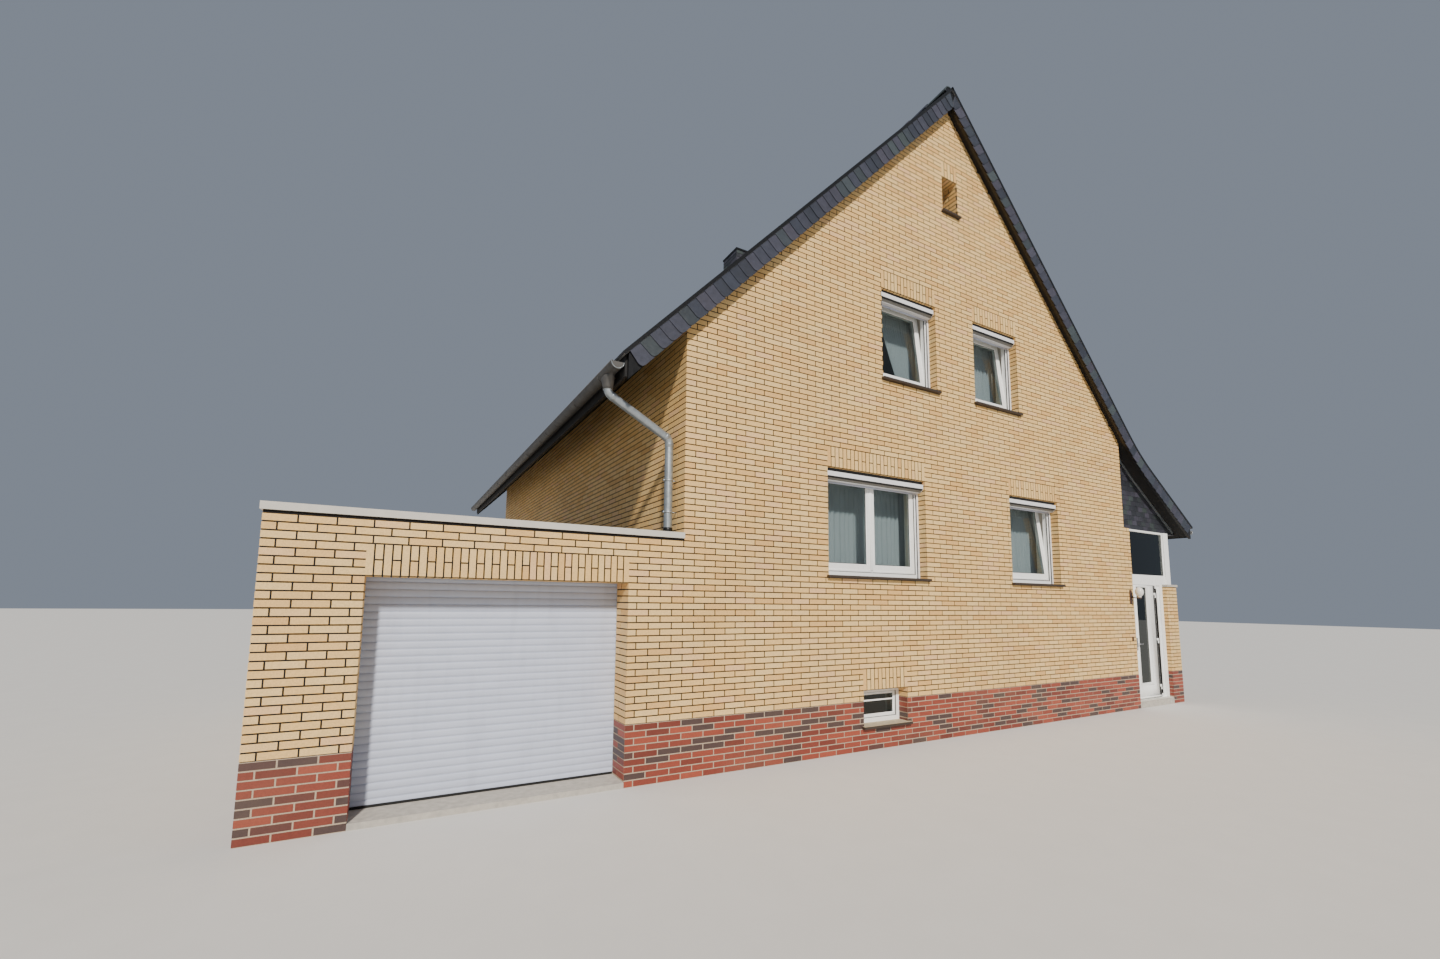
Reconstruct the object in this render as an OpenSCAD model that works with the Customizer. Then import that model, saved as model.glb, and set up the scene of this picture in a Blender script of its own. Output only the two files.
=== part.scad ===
// Detached gabled house with a flat-roofed garage and a glazed entrance porch.
// X runs along the street front, Y into the depth, Z up; z = 0 is the lowest ground line.
// Inside the modules x = 0 is the left corner of the gable and y = 0 the face of the front.

/* [House] */
// Width of the street gable
house_w = 8720; // [7500:10:10000]
// Depth of the house from gable to gable
house_d = 10500; // [8500:50:13000]
// Thickness of the outer walls
wall_t = 365; // [240:5:450]
// Height of one brick course with its joint
course_h = 64; // [60:1:72]
// Courses in the red plinth band
plinth_courses = 9; // [8:1:10]
// Thickness of the floor slabs
floor_t = 180; // [140:10:250]
// Upper face of the ground floor
ground_floor_z = 1150; // [950:10:1300]
// Storey height from floor to floor
storey_h = 2630; // [2450:10:2800]

/* [Roof] */
// Top of the roof covering over the outer wall faces
wall_top_z = 4975; // [4700:5:5400]
// Pitch of both main slopes
roof_pitch = 46; // [42:1:50]
// Pitch of the flared eave over the porch
eave_pitch = 33; // [28:1:40]
// Radius of the curve from one pitch to the other
flare_r = 4000; // [3000:100:9000]
// Distance from the house wall to the start of the curve
flare_start_x = 160; // [0:10:300]
// Thickness of the roof covering
cover_t = 40; // [30:1:60]
// Thickness of the rafters with their boarding
deck_t = 160; // [120:5:220]
// Reach of the left eave beyond the wall
left_eave = 700; // [500:10:900]
// Reach of the right eave beyond the porch wall
right_eave = 480; // [300:10:600]
// Reach of the rafters beyond the gables
verge_out = 70; // [40:5:150]
// Height of the slate-hung verge board
verge_h = 190; // [160:5:260]
// Thickness of the verge board
verge_t = 40; // [25:1:60]
// Reach of the covering beyond the verge boards
verge_lip = 20; // [10:5:40]
// Radius of the ridge tiles
ridge_r = 105; // [90:1:130]
// Inner radius of the gutters
gutter_r = 65; // [50:1:80]
// Sheet thickness of gutters and downpipes
sheet_t = 3; // [2:0.5:5]
// Outer radius of the downpipes
pipe_r = 45; // [35:1:50]
// Greatest distance between gutter brackets
bracket_step = 900; // [600:50:1200]

/* [Chimney] */
// Width of the chimney along the front
chimney_w = 460; // [400:10:600]
// Depth of the chimney
chimney_d = 550; // [400:10:700]
// Top of the chimney slab above the ridge
chimney_over = 170; // [100:10:900]
// Distance of the chimney from the street gable
chimney_y = 5000; // [4000:50:6000]
// Wall thickness round the flue
flue_wall = 130; // [115:5:140]

/* [Porch] */
// Width of the porch and side aisle beyond the house wall
annex_w = 1760; // [1700:10:2000]
// Thickness of the porch side wall
annex_wall_t = 370; // [300:10:420]
// Width of the brick jamb left of the entrance
jamb_w = 180; // [150:10:260]
// Length of the glazed part of the porch
porch_len = 2400; // [2000:50:3200]
// Height of the brick parapet below the side glazing
parapet_h = 2120; // [1900:10:2200]
// Underside of the slate-hung gable above the underside of the eave
slate_lift = 42; // [0:2:80]
// Setback of the entrance frame in the wall
entrance_setback = 65; // [40:5:110]
// Setback of the slate-hung gable over the porch
slate_setback = 120; // [0:10:150]
// Upper face of the porch floor
porch_floor_z = 100; // [60:5:150]
// Underside of the transom over the door
door_head_z = 2140; // [2050:5:2160]
// Height of the transom over the door
transom_h = 170; // [100:5:200]
// Width of the door leaf
leaf_w = 780; // [740:5:820]
// Thickness of the door leaf
leaf_t = 68; // [50:1:80]

/* [Garage] */
// Width of the garage
garage_w = 3500; // [3200:10:4000]
// Depth of the garage
garage_d = 6000; // [5500:50:8000]
// Height of the garage walls
garage_h = 2390; // [2300:10:2500]
// Thickness of the garage front at its jambs
garage_front_t = 300; // [240:5:365]
// Thickness of the other garage walls
garage_wall_t = 240; // [175:5:300]
// Width of the right pier of the garage
garage_pier = 600; // [400:10:800]
// Clear width of the garage opening
garage_open_w = 2220; // [2000:10:2500]
// Courses up to the underside of the garage lintel
garage_open_courses = 30; // [28:1:31]
// Thickness of the garage roof slab
garage_roof_t = 150; // [120:5:200]
// Height of the metal roof trim
trim_h = 60; // [40:5:90]
// Number of slats in the roller door
slat_count = 30; // [24:1:34]

/* [Windows] */
// Setback of the window frames in the wall
reveal = 140; // [100:5:180]
// Width of the fixed window frame profile
frame_w = 55; // [45:1:70]
// Depth of the fixed window frame
frame_t = 70; // [60:1:80]
// Width of the sash profile
sash_w = 60; // [50:1:85]
// Height of the bottom rail of the sashes
sash_foot = 95; // [60:5:120]
// Depth of the sash
sash_t = 58; // [50:1:68]
// Thickness of the panes
glass_t = 24; // [16:1:32]
// Thickness of the stone sills
sill_t = 30; // [20:1:40]
// Reach of the sills beyond the wall
sill_out = 50; // [30:5:70]
// Sill of the ground floor windows in courses
ground_sill = 32; // [30:1:36]
// Head of the ground floor windows in courses
ground_head = 53; // [48:1:55]
// Sill of the bedroom windows in courses
upper_sill = 73; // [68:1:78]
// Head of the bedroom windows in courses
upper_head = 93; // [88:1:96]
// Distance of the living room window from the left corner
living_x = 1930; // [1400:10:2400]
// Width of the living room window
living_w = 1700; // [1400:10:2000]
// Distance of the kitchen window from the left corner
kitchen_x = 5470; // [4800:10:6000]
// Width of the kitchen window
kitchen_w = 1240; // [1000:10:1500]
// Distance of the bedroom windows from the corners
bedroom_x = 2900; // [2400:10:3000]
// Width of the bedroom windows
bedroom_w = 1050; // [900:10:1200]
// Distance of the cellar window from the left corner
cellar_x = 2450; // [1500:10:4000]
// Width of the cellar window
cellar_w = 750; // [600:10:900]
// Width of the attic opening
vent_w = 330; // [250:10:400]
// Height of the attic opening in courses
vent_courses = 9; // [7:1:11]
// Distance of the attic opening's head below the ridge
vent_drop = 1400; // [1300:10:2000]
// Distance of the aisle window from the street front
aisle_window_y = 5600; // [4000:50:8000]
// Inward tilt of the opened sashes in degrees
tilt = 6; // [3:0.5:8]
// Height of the shutter boxes under the lintels
shutter_h = 105; // [90:5:150]
// Gap between a shutter box and its lintel
shutter_gap = 45; // [20:5:60]
// Setback of the shutter boxes in the wall
shutter_set = 18; // [10:2:50]

/* [Hidden] */
$fn = 48;
eps = 0.3;
plinth_h = plinth_courses * course_h;
ridge_x = house_w / 2;
ridge_h = wall_top_z + ridge_x * tan(roof_pitch);
chimney_h = ridge_h + chimney_over;
roof_t = cover_t + deck_t;
annex_x = house_w + annex_w;
eave_x = annex_x + right_eave;
flare_x = house_w + flare_start_x;
slate_z = round(right_eave_low() + slate_lift);
upper_floor_z = ground_floor_z + storey_h;
attic_floor_z = upper_floor_z + storey_h;
garage_open_x = -garage_pier - garage_open_w;
garage_open_z = garage_open_courses * course_h;
garage_floor_z = 50;
trim_out = 20;
trim_in = 150;
sill_side = 30;

// Windows as [left edge, width, sill course, head course, leaves, tilted]
living_window = [living_x, living_w, ground_sill, ground_head, 2, false];
kitchen_window = [kitchen_x, kitchen_w, ground_sill, ground_head, 1, true];
left_bedroom_window = [bedroom_x, bedroom_w, upper_sill, upper_head, 1, true];
right_bedroom_window = [house_w - bedroom_x - bedroom_w, bedroom_w, upper_sill, upper_head, 1, true];
cellar_window = [cellar_x, cellar_w, 4, 11, 1, false];
aisle_window = [aisle_window_y, bedroom_w, 23, 43, 1, false];
vent_head = floor((ridge_h - vent_drop) / course_h);
attic_vent = [ridge_x - vent_w / 2, vent_w, vent_head - vent_courses, vent_head, 1, false];
gable_windows = [living_window, kitchen_window, left_bedroom_window, right_bedroom_window];
window_rows = [[cellar_window], [living_window, kitchen_window],
    [left_bedroom_window, right_bedroom_window], [attic_vent]];

// Hinge line of the entrance door and the clear space round the leaf
door_gap = 5;
latch_gap = 10;
post_w = 100;
jamb_x = house_w + jamb_w;
leaf_x = jamb_x + post_w + latch_gap;
mullion_x = leaf_x + leaf_w + door_gap;
mullion_w = 30;
side_glass_w = 50;
porch_in_x = annex_x - annex_wall_t;
hinge_r = 9;
hinge_pin_r = 5;
hinge_x = leaf_x + leaf_w + door_gap / 2;
hinge_y = entrance_setback - hinge_r - 3;
leaf_z = porch_floor_z + 30;
leaf_h = door_head_z - door_gap - leaf_z;
hinge_heights = [leaf_z + 180, leaf_z + leaf_h / 2, leaf_z + leaf_h - 180];
hinge_h = 45;
latch_stile = 137;
hinge_stile = 260;

post_x = porch_in_x + 60;
corner_post_w = 250;
post_t = 120;
coping_t = 40;
coping_out = 20;

chimney_x = ridge_x - ridge_r - 15 - chimney_w;
cap_t = 40;
cap_out = 20;
lamp_reach = 200;
lamp_x = house_w + 80;
lamp_z = 2000;

fascia_t = 24;
bracket_w = 25;
bracket_t = 4;
bracket_tail = 20;
left_outlet_y = 200;
right_outlet_y = house_d - 60;
bend_r = 90;
neck_slope = 28.5;
neck_drop = 160;
pipe_gap = 50;
gutter_lift = 120;
roof_seat = 0.3;
gutter_reach = gutter_r + sheet_t + bracket_t + 6;
gutter_x_left = -left_eave - fascia_t - gutter_reach;
gutter_x_right = eave_x + fascia_t + gutter_reach;

// Brick, slate and metal colours
clinker = "#D9BE8A";
red_clinker = "#8E4A3A";
slate = "#4A4D57";
tile = "#33353B";
dark_board = "#23211F";
zinc = "#AEB4B6";
pvc = "#F0F1EF";
pane = "#5B6B66";
concrete = "#B9B2A6";
stone = "#5A4C42";
alu = "#C9CCCE";
grey = "#8D8D8B";

// The whole box runs from the garage trim to the right gutter and from the lamp to the rear verge
x_low = -garage_w - trim_out;
x_high = gutter_x_right + gutter_r + sheet_t + eps + bracket_t;
y_low = -lamp_reach;
y_high = house_d + verge_out + verge_t + verge_lip;

module place() {
    translate([-(x_low + x_high) / 2, -(y_low + y_high) / 2, 0]) children();
}

// Extrudes a drawing made in x and z along y
module along_y(y0, y1) {
    translate([0, y1, 0]) rotate([90, 0, 0]) linear_extrude(y1 - y0) children();
}

// Extrudes a drawing made in y and z along x
module along_x(x0, x1) {
    translate([x0, 0, 0]) rotate([90, 0, 90]) linear_extrude(x1 - x0) children();
}

module box(low, high) {
    translate(low) cube(high - low);
}

// Roof lines: depth is measured square to the slope below the top of the covering
function upward(a) = [sin(a), cos(a)];
function apex(depth) = [ridge_x, ridge_h - depth / cos(roof_pitch)];
function flare_start() = [flare_x, ridge_h - (flare_x - ridge_x) * tan(roof_pitch)];
function flare_centre() = flare_start() + flare_r * upward(roof_pitch);
function flare_point(a, depth) = flare_centre() - (flare_r + depth) * upward(a);
function flare_arc(depth) =
    [for (i = [0 : 8]) flare_point(roof_pitch + (eave_pitch - roof_pitch) * i / 8, depth)];
function right_end(x, depth) =
    let (p = flare_point(eave_pitch, depth)) [x, p[1] - (x - p[0]) * tan(eave_pitch)];
function left_end(x, depth) = [x, apex(depth)[1] - (ridge_x - x) * tan(roof_pitch)];
function right_line(depth, x) = concat([apex(depth)], flare_arc(depth), [right_end(x, depth)]);
function reversed(list) = [for (i = [len(list) - 1 : -1 : 0]) list[i]];

module left_slope(d0, d1, x) {
    polygon([apex(d0), apex(d1), left_end(x, d1), left_end(x, d0)]);
}

module right_slope(d0, d1, x) {
    polygon(concat(right_line(d0, x), reversed(right_line(d1, x))));
}

// The space below the rafters, down to the ground
module under_roof() {
    depth = roof_t + roof_seat;
    polygon(concat([[-left_eave, 0], left_end(-left_eave, depth)], right_line(depth, eave_x), [[eave_x, 0]]));
}

// Wall openings
function sill_z(w) = w[2] * course_h;
function head_z(w) = w[3] * course_h;

module opening(w) {
    translate([w[0], sill_z(w)]) square([w[1], head_z(w) - sill_z(w)]);
}

// The gable is laid in storeys: piers beside the openings of each row and bands between the rows
module gable_band(z0, z1) {
    intersection() {
        translate([0, z0]) square([house_w, z1 - z0]);
        under_roof();
    }
}

function row_low(row) = max(plinth_h, sill_z(row[0]));

module gable_piers() {
    color(clinker) along_y(0, wall_t) for (row = window_rows) difference() {
        gable_band(row_low(row), head_z(row[0]));
        for (w = row) opening(w);
    }
}

module gable_bands() {
    last = len(window_rows) - 1;
    color(clinker) along_y(0, wall_t) for (i = [0 : last])
        gable_band(head_z(window_rows[i][0]), i < last ? row_low(window_rows[i + 1]) : ridge_h);
}

module to_back() {
    translate([house_w, house_d, 0]) rotate([0, 0, 180]) children();
}

module front_wall_piers() place() gable_piers();

module front_wall_bands() place() gable_bands();

module back_wall_piers() place() to_back() gable_piers();

module back_wall_bands() place() to_back() gable_bands();

module side_wall(x0, x1) {
    color(clinker) along_y(wall_t, house_d - wall_t) intersection() {
        translate([x0, plinth_h]) square([x1 - x0, ridge_h]);
        under_roof();
    }
}

module left_wall() place() side_wall(0, wall_t);

module right_wall() place() side_wall(house_w - wall_t, house_w);

module gable_plinth(length) {
    color(red_clinker) along_y(0, wall_t) difference() {
        square([length, plinth_h]);
        opening(cellar_window);
    }
}

module front_plinth() place() gable_plinth(jamb_x);

module back_plinth() place() to_back() gable_plinth(house_w);

module side_plinths() place() color(red_clinker) {
    box([0, wall_t, 0], [wall_t, house_d - wall_t, plinth_h]);
    box([house_w - wall_t, wall_t, 0], [house_w, house_d - wall_t, plinth_h]);
}

// Floors lie between the outer walls
module floor_slab(top) {
    color(concrete) along_y(wall_t, house_d - wall_t) intersection() {
        translate([wall_t, top - floor_t]) square([house_w - 2 * wall_t, floor_t]);
        under_roof();
    }
}

module ground_floor() place() floor_slab(ground_floor_z);

module upper_floor() place() floor_slab(upper_floor_z);

module attic_floor() place() floor_slab(attic_floor_z);

// Roof
module chimney_hole() {
    translate([chimney_x - 5, chimney_y - 5, 0]) cube([chimney_w + 10, chimney_d + 10, 2 * ridge_h]);
}

module roof_deck_left() place() color(dark_board) difference() {
    along_y(-verge_out, house_d + verge_out) left_slope(cover_t, roof_t, -left_eave);
    chimney_hole();
}

module roof_deck_right() place() color(dark_board)
    along_y(-verge_out, house_d + verge_out) right_slope(cover_t, roof_t, eave_x);

// The covering runs over the verge boards and into the gutters
cover_over = 70;

module roof_tiles_left() place() color(tile) difference() {
    along_y(-verge_out - verge_t - verge_lip, y_high)
        left_slope(0, cover_t - roof_seat, -left_eave - cover_over);
    chimney_hole();
}

module roof_tiles_right() place() color(tile)
    along_y(-verge_out - verge_t - verge_lip, y_high)
        right_slope(0, cover_t - roof_seat, eave_x + cover_over);

ridge_t = 18;

module ridge_tiles() place() color(tile)
    along_y(-verge_out, house_d + verge_out) difference() {
        translate([ridge_x, ridge_h - ridge_r / 2]) circle(ridge_r);
        translate([ridge_x, ridge_h - ridge_r / 2]) circle(ridge_r - ridge_t);
        polygon([apex(0), left_end(0, 0), [0, 0], [house_w, 0], flare_start()]);
    }

module verge_board() {
    left_slope(cover_t, cover_t + verge_h, -left_eave);
    right_slope(cover_t, cover_t + verge_h, eave_x);
}

module verge_boards() place() color(slate) {
    along_y(-verge_out - verge_t, -verge_out) verge_board();
    along_y(house_d + verge_out, house_d + verge_out + verge_t) verge_board();
}

function left_eave_z() = left_end(-left_eave, cover_t)[1];
function left_eave_low() = left_end(-left_eave, roof_t)[1];
function right_eave_z() = right_end(eave_x, cover_t)[1];
function right_eave_low() = right_end(eave_x, roof_t)[1];

module fascias() place() color(dark_board) {
    box([-left_eave - fascia_t, -verge_out, left_eave_low() - 10],
        [-left_eave, house_d + verge_out, left_eave_z() - fascia_t * tan(roof_pitch)]);
    box([eave_x, -verge_out, right_eave_low() - 10],
        [eave_x + fascia_t, house_d + verge_out, right_eave_z() - fascia_t * tan(eave_pitch)]);
}

// Half-round gutters hang from brackets on the fascias
function gutter_z_left() = left_eave_low() + gutter_lift;
function gutter_z_right() = right_eave_low() + gutter_lift;

module half_ring(r0, r1) {
    difference() {
        circle(r1);
        circle(r0);
        translate([-2 * r1, 0]) square([4 * r1, 2 * r1]);
    }
}

module half_disc(r) {
    difference() {
        circle(r);
        translate([-2 * r, 0]) square([4 * r, 2 * r]);
    }
}

module gutter(x, z, outlet_y) {
    y0 = -verge_out - 10;
    y1 = house_d + verge_out + 10;
    difference() {
        union() {
            along_y(y0, y1) translate([x, z]) half_ring(gutter_r, gutter_r + sheet_t);
            along_y(y0 - sheet_t, y0) translate([x, z]) half_disc(gutter_r + sheet_t);
            along_y(y1, y1 + sheet_t) translate([x, z]) half_disc(gutter_r + sheet_t);
        }
        translate([x, outlet_y, z - gutter_r - 2 * sheet_t]) cylinder(h = 4 * sheet_t, r = pipe_r - sheet_t);
    }
}

module gutters() place() color(zinc) {
    gutter(gutter_x_left, gutter_z_left(), left_outlet_y);
    gutter(gutter_x_right, gutter_z_right(), right_outlet_y);
}

module bracket(x, z, side, y) {
    r = gutter_r + sheet_t + eps;
    along_y(y, y + bracket_w) translate([x, z]) union() {
        half_ring(r, r + bracket_t);
        translate([side > 0 ? r : -gutter_reach, 0]) square([gutter_reach - r, bracket_tail]);
    }
}

bracket_first = 350;

module bracket_row(x, z, side) {
    length = house_d - 2 * bracket_first;
    count = ceil(length / bracket_step);
    for (i = [0 : count]) bracket(x, z, side, bracket_first + i * (length - bracket_w) / count);
}

module gutter_brackets() place() color(zinc) {
    bracket_row(gutter_x_left, gutter_z_left(), 1);
    bracket_row(gutter_x_right, gutter_z_right(), -1);
}

// A swan neck runs from the gutter outlet back to the wall and then straight down.
// Its path is a list of [point, outward normal] in x and z, from x = 0 at the outlet to the wall.
pipe_sides = 20;
elbow_steps = 5;

function elbow_path(centre, start, turn, side) =
    [for (i = [0 : elbow_steps]) let (a = start + turn * i / elbow_steps)
        [centre + bend_r * [cos(a), sin(a)], side * [cos(a), sin(a)]]];

function neck_path(z_top, run, z_foot) =
    let (turn = 90 - neck_slope, tangent = bend_r * tan(turn / 2), knee = z_top - neck_drop,
        foot = knee - run * tan(neck_slope))
    concat([[[0, z_top], [-1, 0]]],
        elbow_path([bend_r, knee + tangent], 180, turn, 1),
        elbow_path([run - bend_r, foot - tangent], turn, -turn, -1),
        [[[run, z_foot], [-1, 0]]]);

function pipe_ring(step, r) =
    [for (k = [0 : pipe_sides - 1]) let (t = 360 * k / pipe_sides)
        [step[0][0] + r * cos(t) * step[1][0], r * sin(t), step[0][1] + r * cos(t) * step[1][1]]];

// Four corners of the quad that starts at side k between two rings
function quad(a, b, k) = let (m = (k + 1) % pipe_sides)
    [a * pipe_sides + k, a * pipe_sides + m, b * pipe_sides + m, b * pipe_sides + k];

module swan_neck(z_top, run, z_foot) {
    path = neck_path(z_top, run, z_foot);
    n = len(path);
    points = concat([for (step = path) each pipe_ring(step, pipe_r)],
        [for (step = path) each pipe_ring(step, pipe_r - sheet_t)]);
    faces = [for (k = [0 : pipe_sides - 1]) each concat(
        [for (i = [0 : n - 2]) quad(i, i + 1, k)],
        [for (i = [n : 2 * n - 2]) quad(i + 1, i, k)],
        [quad(n, 0, k), quad(n - 1, 2 * n - 1, k)])];
    polyhedron(points, faces);
}

module downpipes() place() color(zinc) {
    translate([gutter_x_left, left_outlet_y, 0])
        swan_neck(gutter_z_left() - gutter_r - sheet_t - eps, -pipe_gap - pipe_r - gutter_x_left,
            garage_h + eps);
    translate([gutter_x_right, right_outlet_y, 0]) rotate([0, 0, 180])
        swan_neck(gutter_z_right() - gutter_r - sheet_t - eps,
            gutter_x_right - annex_x - pipe_gap - pipe_r, 0);
}

// Slate-hung chimney on the attic floor
module chimney() place() color(slate) difference() {
    box([chimney_x, chimney_y, attic_floor_z],
        [chimney_x + chimney_w, chimney_y + chimney_d, chimney_h - cap_t]);
    box([chimney_x + flue_wall, chimney_y + flue_wall, attic_floor_z - 1],
        [chimney_x + chimney_w - flue_wall, chimney_y + chimney_d - flue_wall, chimney_h]);
}

module chimney_cap() place() color(dark_board) difference() {
    box([chimney_x - cap_out, chimney_y - cap_out, chimney_h - cap_t],
        [chimney_x + chimney_w + cap_out, chimney_y + chimney_d + cap_out, chimney_h]);
    box([chimney_x + flue_wall, chimney_y + flue_wall, chimney_h - 2 * cap_t],
        [chimney_x + chimney_w - flue_wall, chimney_y + chimney_d - flue_wall, chimney_h + 1]);
}

// Porch and side aisle under the flared slope
module porch_jamb_wall() place() color(clinker)
    box([house_w, 0, plinth_h], [jamb_x, wall_t, slate_z]);

module porch_parapet() place() color(clinker)
    box([porch_in_x, 0, plinth_h], [annex_x, porch_len, parapet_h]);

module parapet_coping() place() color(concrete)
    box([porch_in_x, -coping_out, parapet_h], [annex_x + coping_out, porch_len, parapet_h + coping_t]);

module aisle_side_wall() place() color(clinker) difference() {
    along_y(porch_len, house_d - wall_t) intersection() {
        translate([porch_in_x, plinth_h]) square([annex_wall_t, ridge_h]);
        under_roof();
    }
    translate([annex_x, 0, 0]) rotate([0, 0, 90]) along_y(-1, annex_wall_t + 1) opening(aisle_window);
}

module aisle_back_wall() place() color(clinker)
    box([house_w, house_d - wall_t, plinth_h], [annex_x, house_d, slate_z]);

module aisle_plinth() place() color(red_clinker) {
    box([porch_in_x, 0, 0], [annex_x, house_d - wall_t, plinth_h]);
    box([house_w, house_d - wall_t, 0], [annex_x, house_d, plinth_h]);
}

module aisle_floor() place() color(concrete) {
    box([jamb_x, 0, 0], [porch_in_x, wall_t, porch_floor_z]);
    box([house_w, wall_t, 0], [porch_in_x, house_d - wall_t, porch_floor_z]);
}

slate_wall_t = 120;

module slate_gable() {
    intersection() {
        translate([house_w, slate_z]) square([annex_w + right_eave, ridge_h]);
        under_roof();
    }
}

module slate_gables() place() color(slate) {
    along_y(slate_setback, slate_setback + slate_wall_t) slate_gable();
    along_y(house_d - slate_setback - slate_wall_t, house_d - slate_setback) slate_gable();
}

module porch_beam() place() color(pvc) along_y(slate_setback + slate_wall_t, porch_len) intersection() {
    translate([porch_in_x + 120, slate_z]) square([annex_wall_t - 140, ridge_h]);
    under_roof();
}

// White frames over the parapet: fanlight, corner post and side glazing
light_w = 60;
light_t = 60;
side_frame_x = post_x + corner_post_w - light_t;
side_lights = 2;
parapet_top = parapet_h + coping_t;
fan_z = door_head_z + transom_h;

module frame_ring(width, height, profile) {
    difference() {
        square([width, height]);
        translate([profile, profile]) square([width - 2 * profile, height - 2 * profile]);
    }
}

module porch_frames() place() color(pvc) {
    along_y(entrance_setback, entrance_setback + light_t)
        translate([jamb_x, fan_z]) frame_ring(porch_in_x - jamb_x, slate_z - fan_z, light_w);
    box([post_x, entrance_setback - 20, parapet_top], [post_x + corner_post_w, entrance_setback + post_t, slate_z]);
    box([porch_in_x, entrance_setback, parapet_top], [post_x, entrance_setback + light_t, slate_z]);
    along_x(side_frame_x, side_frame_x + light_t) difference() {
        translate([entrance_setback + post_t, parapet_top])
            square([porch_len - entrance_setback - post_t, slate_z - parapet_top]);
        for (i = [0 : side_lights - 1]) side_light(i);
    }
}

side_light_w = (porch_len - entrance_setback - post_t - (side_lights + 1) * light_w) / side_lights;

module side_light(i) {
    translate([entrance_setback + post_t + light_w + i * (side_light_w + light_w), parapet_top + light_w])
        square([side_light_w, slate_z - parapet_top - 2 * light_w]);
}

module porch_glass() place() color(pane) {
    along_y(entrance_setback + 20, entrance_setback + 20 + glass_t)
        translate([jamb_x + light_w, fan_z + light_w])
            square([porch_in_x - jamb_x - 2 * light_w, slate_z - fan_z - 2 * light_w]);
    along_x(side_frame_x + 18, side_frame_x + 18 + glass_t)
        for (i = [0 : side_lights - 1]) side_light(i);
    box([mullion_x + mullion_w, entrance_setback + 28, leaf_z + side_rail],
        [mullion_x + mullion_w + side_glass_w, entrance_setback + 28 + glass_t, door_head_z - side_rail]);
}

// Entrance: frame with a narrow fixed side light and a stepped post, and the hinged leaf
frame_depth = leaf_t + 12;
side_rail = 60;
stile_step = 20;

module door_frame() place() color(pvc) {
    y0 = entrance_setback;
    y1 = entrance_setback + frame_depth;
    glass_x = mullion_x + mullion_w;
    stile_x = glass_x + side_glass_w;
    difference() {
        union() {
            box([jamb_x, y0, porch_floor_z], [jamb_x + post_w, y1, door_head_z]);
            box([mullion_x, y0, porch_floor_z], [porch_in_x, y1, door_head_z]);
            box([jamb_x, y0, door_head_z], [porch_in_x, y1, fan_z]);
            box([jamb_x, y0, porch_floor_z], [porch_in_x, y1, leaf_z - 10]);
        }
        box([glass_x, y0 - 1, leaf_z + side_rail], [stile_x, y1 + 1, door_head_z - side_rail]);
        box([stile_x, y0 - 1, leaf_z], [porch_in_x - post_w, y0 + stile_step, door_head_z]);
    }
    for (z = hinge_heights) frame_hinge(z);
}

module frame_hinge(z) {
    translate([hinge_x, hinge_y, z - hinge_h]) cylinder(h = hinge_h - 0.5, r = hinge_r);
    translate([hinge_x, hinge_y, z - hinge_h]) cylinder(h = 2 * hinge_h - 2, r = hinge_pin_r);
    box([hinge_x, hinge_y, z - hinge_h], [mullion_x + mullion_w, entrance_setback, z - 0.5]);
}

module leaf_hinge(z) {
    difference() {
        union() {
            translate([hinge_x, hinge_y, z + 0.5]) cylinder(h = hinge_h - 1, r = hinge_r);
            box([leaf_x + leaf_w - 30, hinge_y, z + 0.5], [hinge_x, entrance_setback, z + hinge_h - 0.5]);
        }
        translate([hinge_x, hinge_y, z - 1]) cylinder(h = hinge_h + 2, r = hinge_pin_r + 0.1);
        box([leaf_x + leaf_w, hinge_y + hinge_r, z], [hinge_x + 1, entrance_setback + 1, z + hinge_h]);
    }
}

kick_h = 260;
top_rail = 110;

module leaf_light(y0, y1) {
    box([leaf_x + latch_stile, y0, leaf_z + kick_h],
        [leaf_x + leaf_w - hinge_stile, y1, leaf_z + leaf_h - top_rail]);
}

module front_door() place() color(pvc) {
    difference() {
        box([leaf_x, entrance_setback, leaf_z], [leaf_x + leaf_w, entrance_setback + leaf_t, leaf_z + leaf_h]);
        leaf_light(entrance_setback - 1, entrance_setback + leaf_t + 1);
    }
    for (z = hinge_heights) leaf_hinge(z);
}

module door_pane() place() color(pane) leaf_light(entrance_setback + 22, entrance_setback + 22 + glass_t);

handle_h = 960;

module door_handle() place() color(zinc) {
    x = leaf_x + 50;
    z = leaf_z + handle_h;
    box([x - 18, entrance_setback - 10, z - 110], [x + 18, entrance_setback, z + 110]);
    translate([x, entrance_setback - 10, z]) rotate([90, 0, 0]) cylinder(h = 45, r = 9);
    translate([x, entrance_setback - 46, z]) rotate([0, 90, 0]) cylinder(h = 120, r = 9);
}

// Wall lamp with a bracket and a glass globe
globe_r = 62;
globe_h = 165;

module lamp_outline() {
    intersection() {
        union() {
            scale([1, globe_h / (2 * globe_r)]) circle(globe_r);
            translate([0, -globe_h / 2 - 20]) square([30, 30]);
            translate([0, globe_h / 2 - 6]) square([14, 12]);
        }
        translate([0, -globe_h]) square([globe_h, 2 * globe_h]);
    }
}

module wall_lamp() place() {
    color(dark_board) {
        box([lamp_x - 42, -12, lamp_z - 205], [lamp_x + 42, 0, lamp_z + 35]);
        translate([lamp_x, 0, lamp_z - globe_h / 2 - 10]) rotate([90, 0, 0]) cylinder(h = lamp_reach - globe_r, r = 9);
    }
    color("white") translate([lamp_x, -lamp_reach + globe_r, lamp_z]) rotate_extrude() lamp_outline();
}

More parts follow.
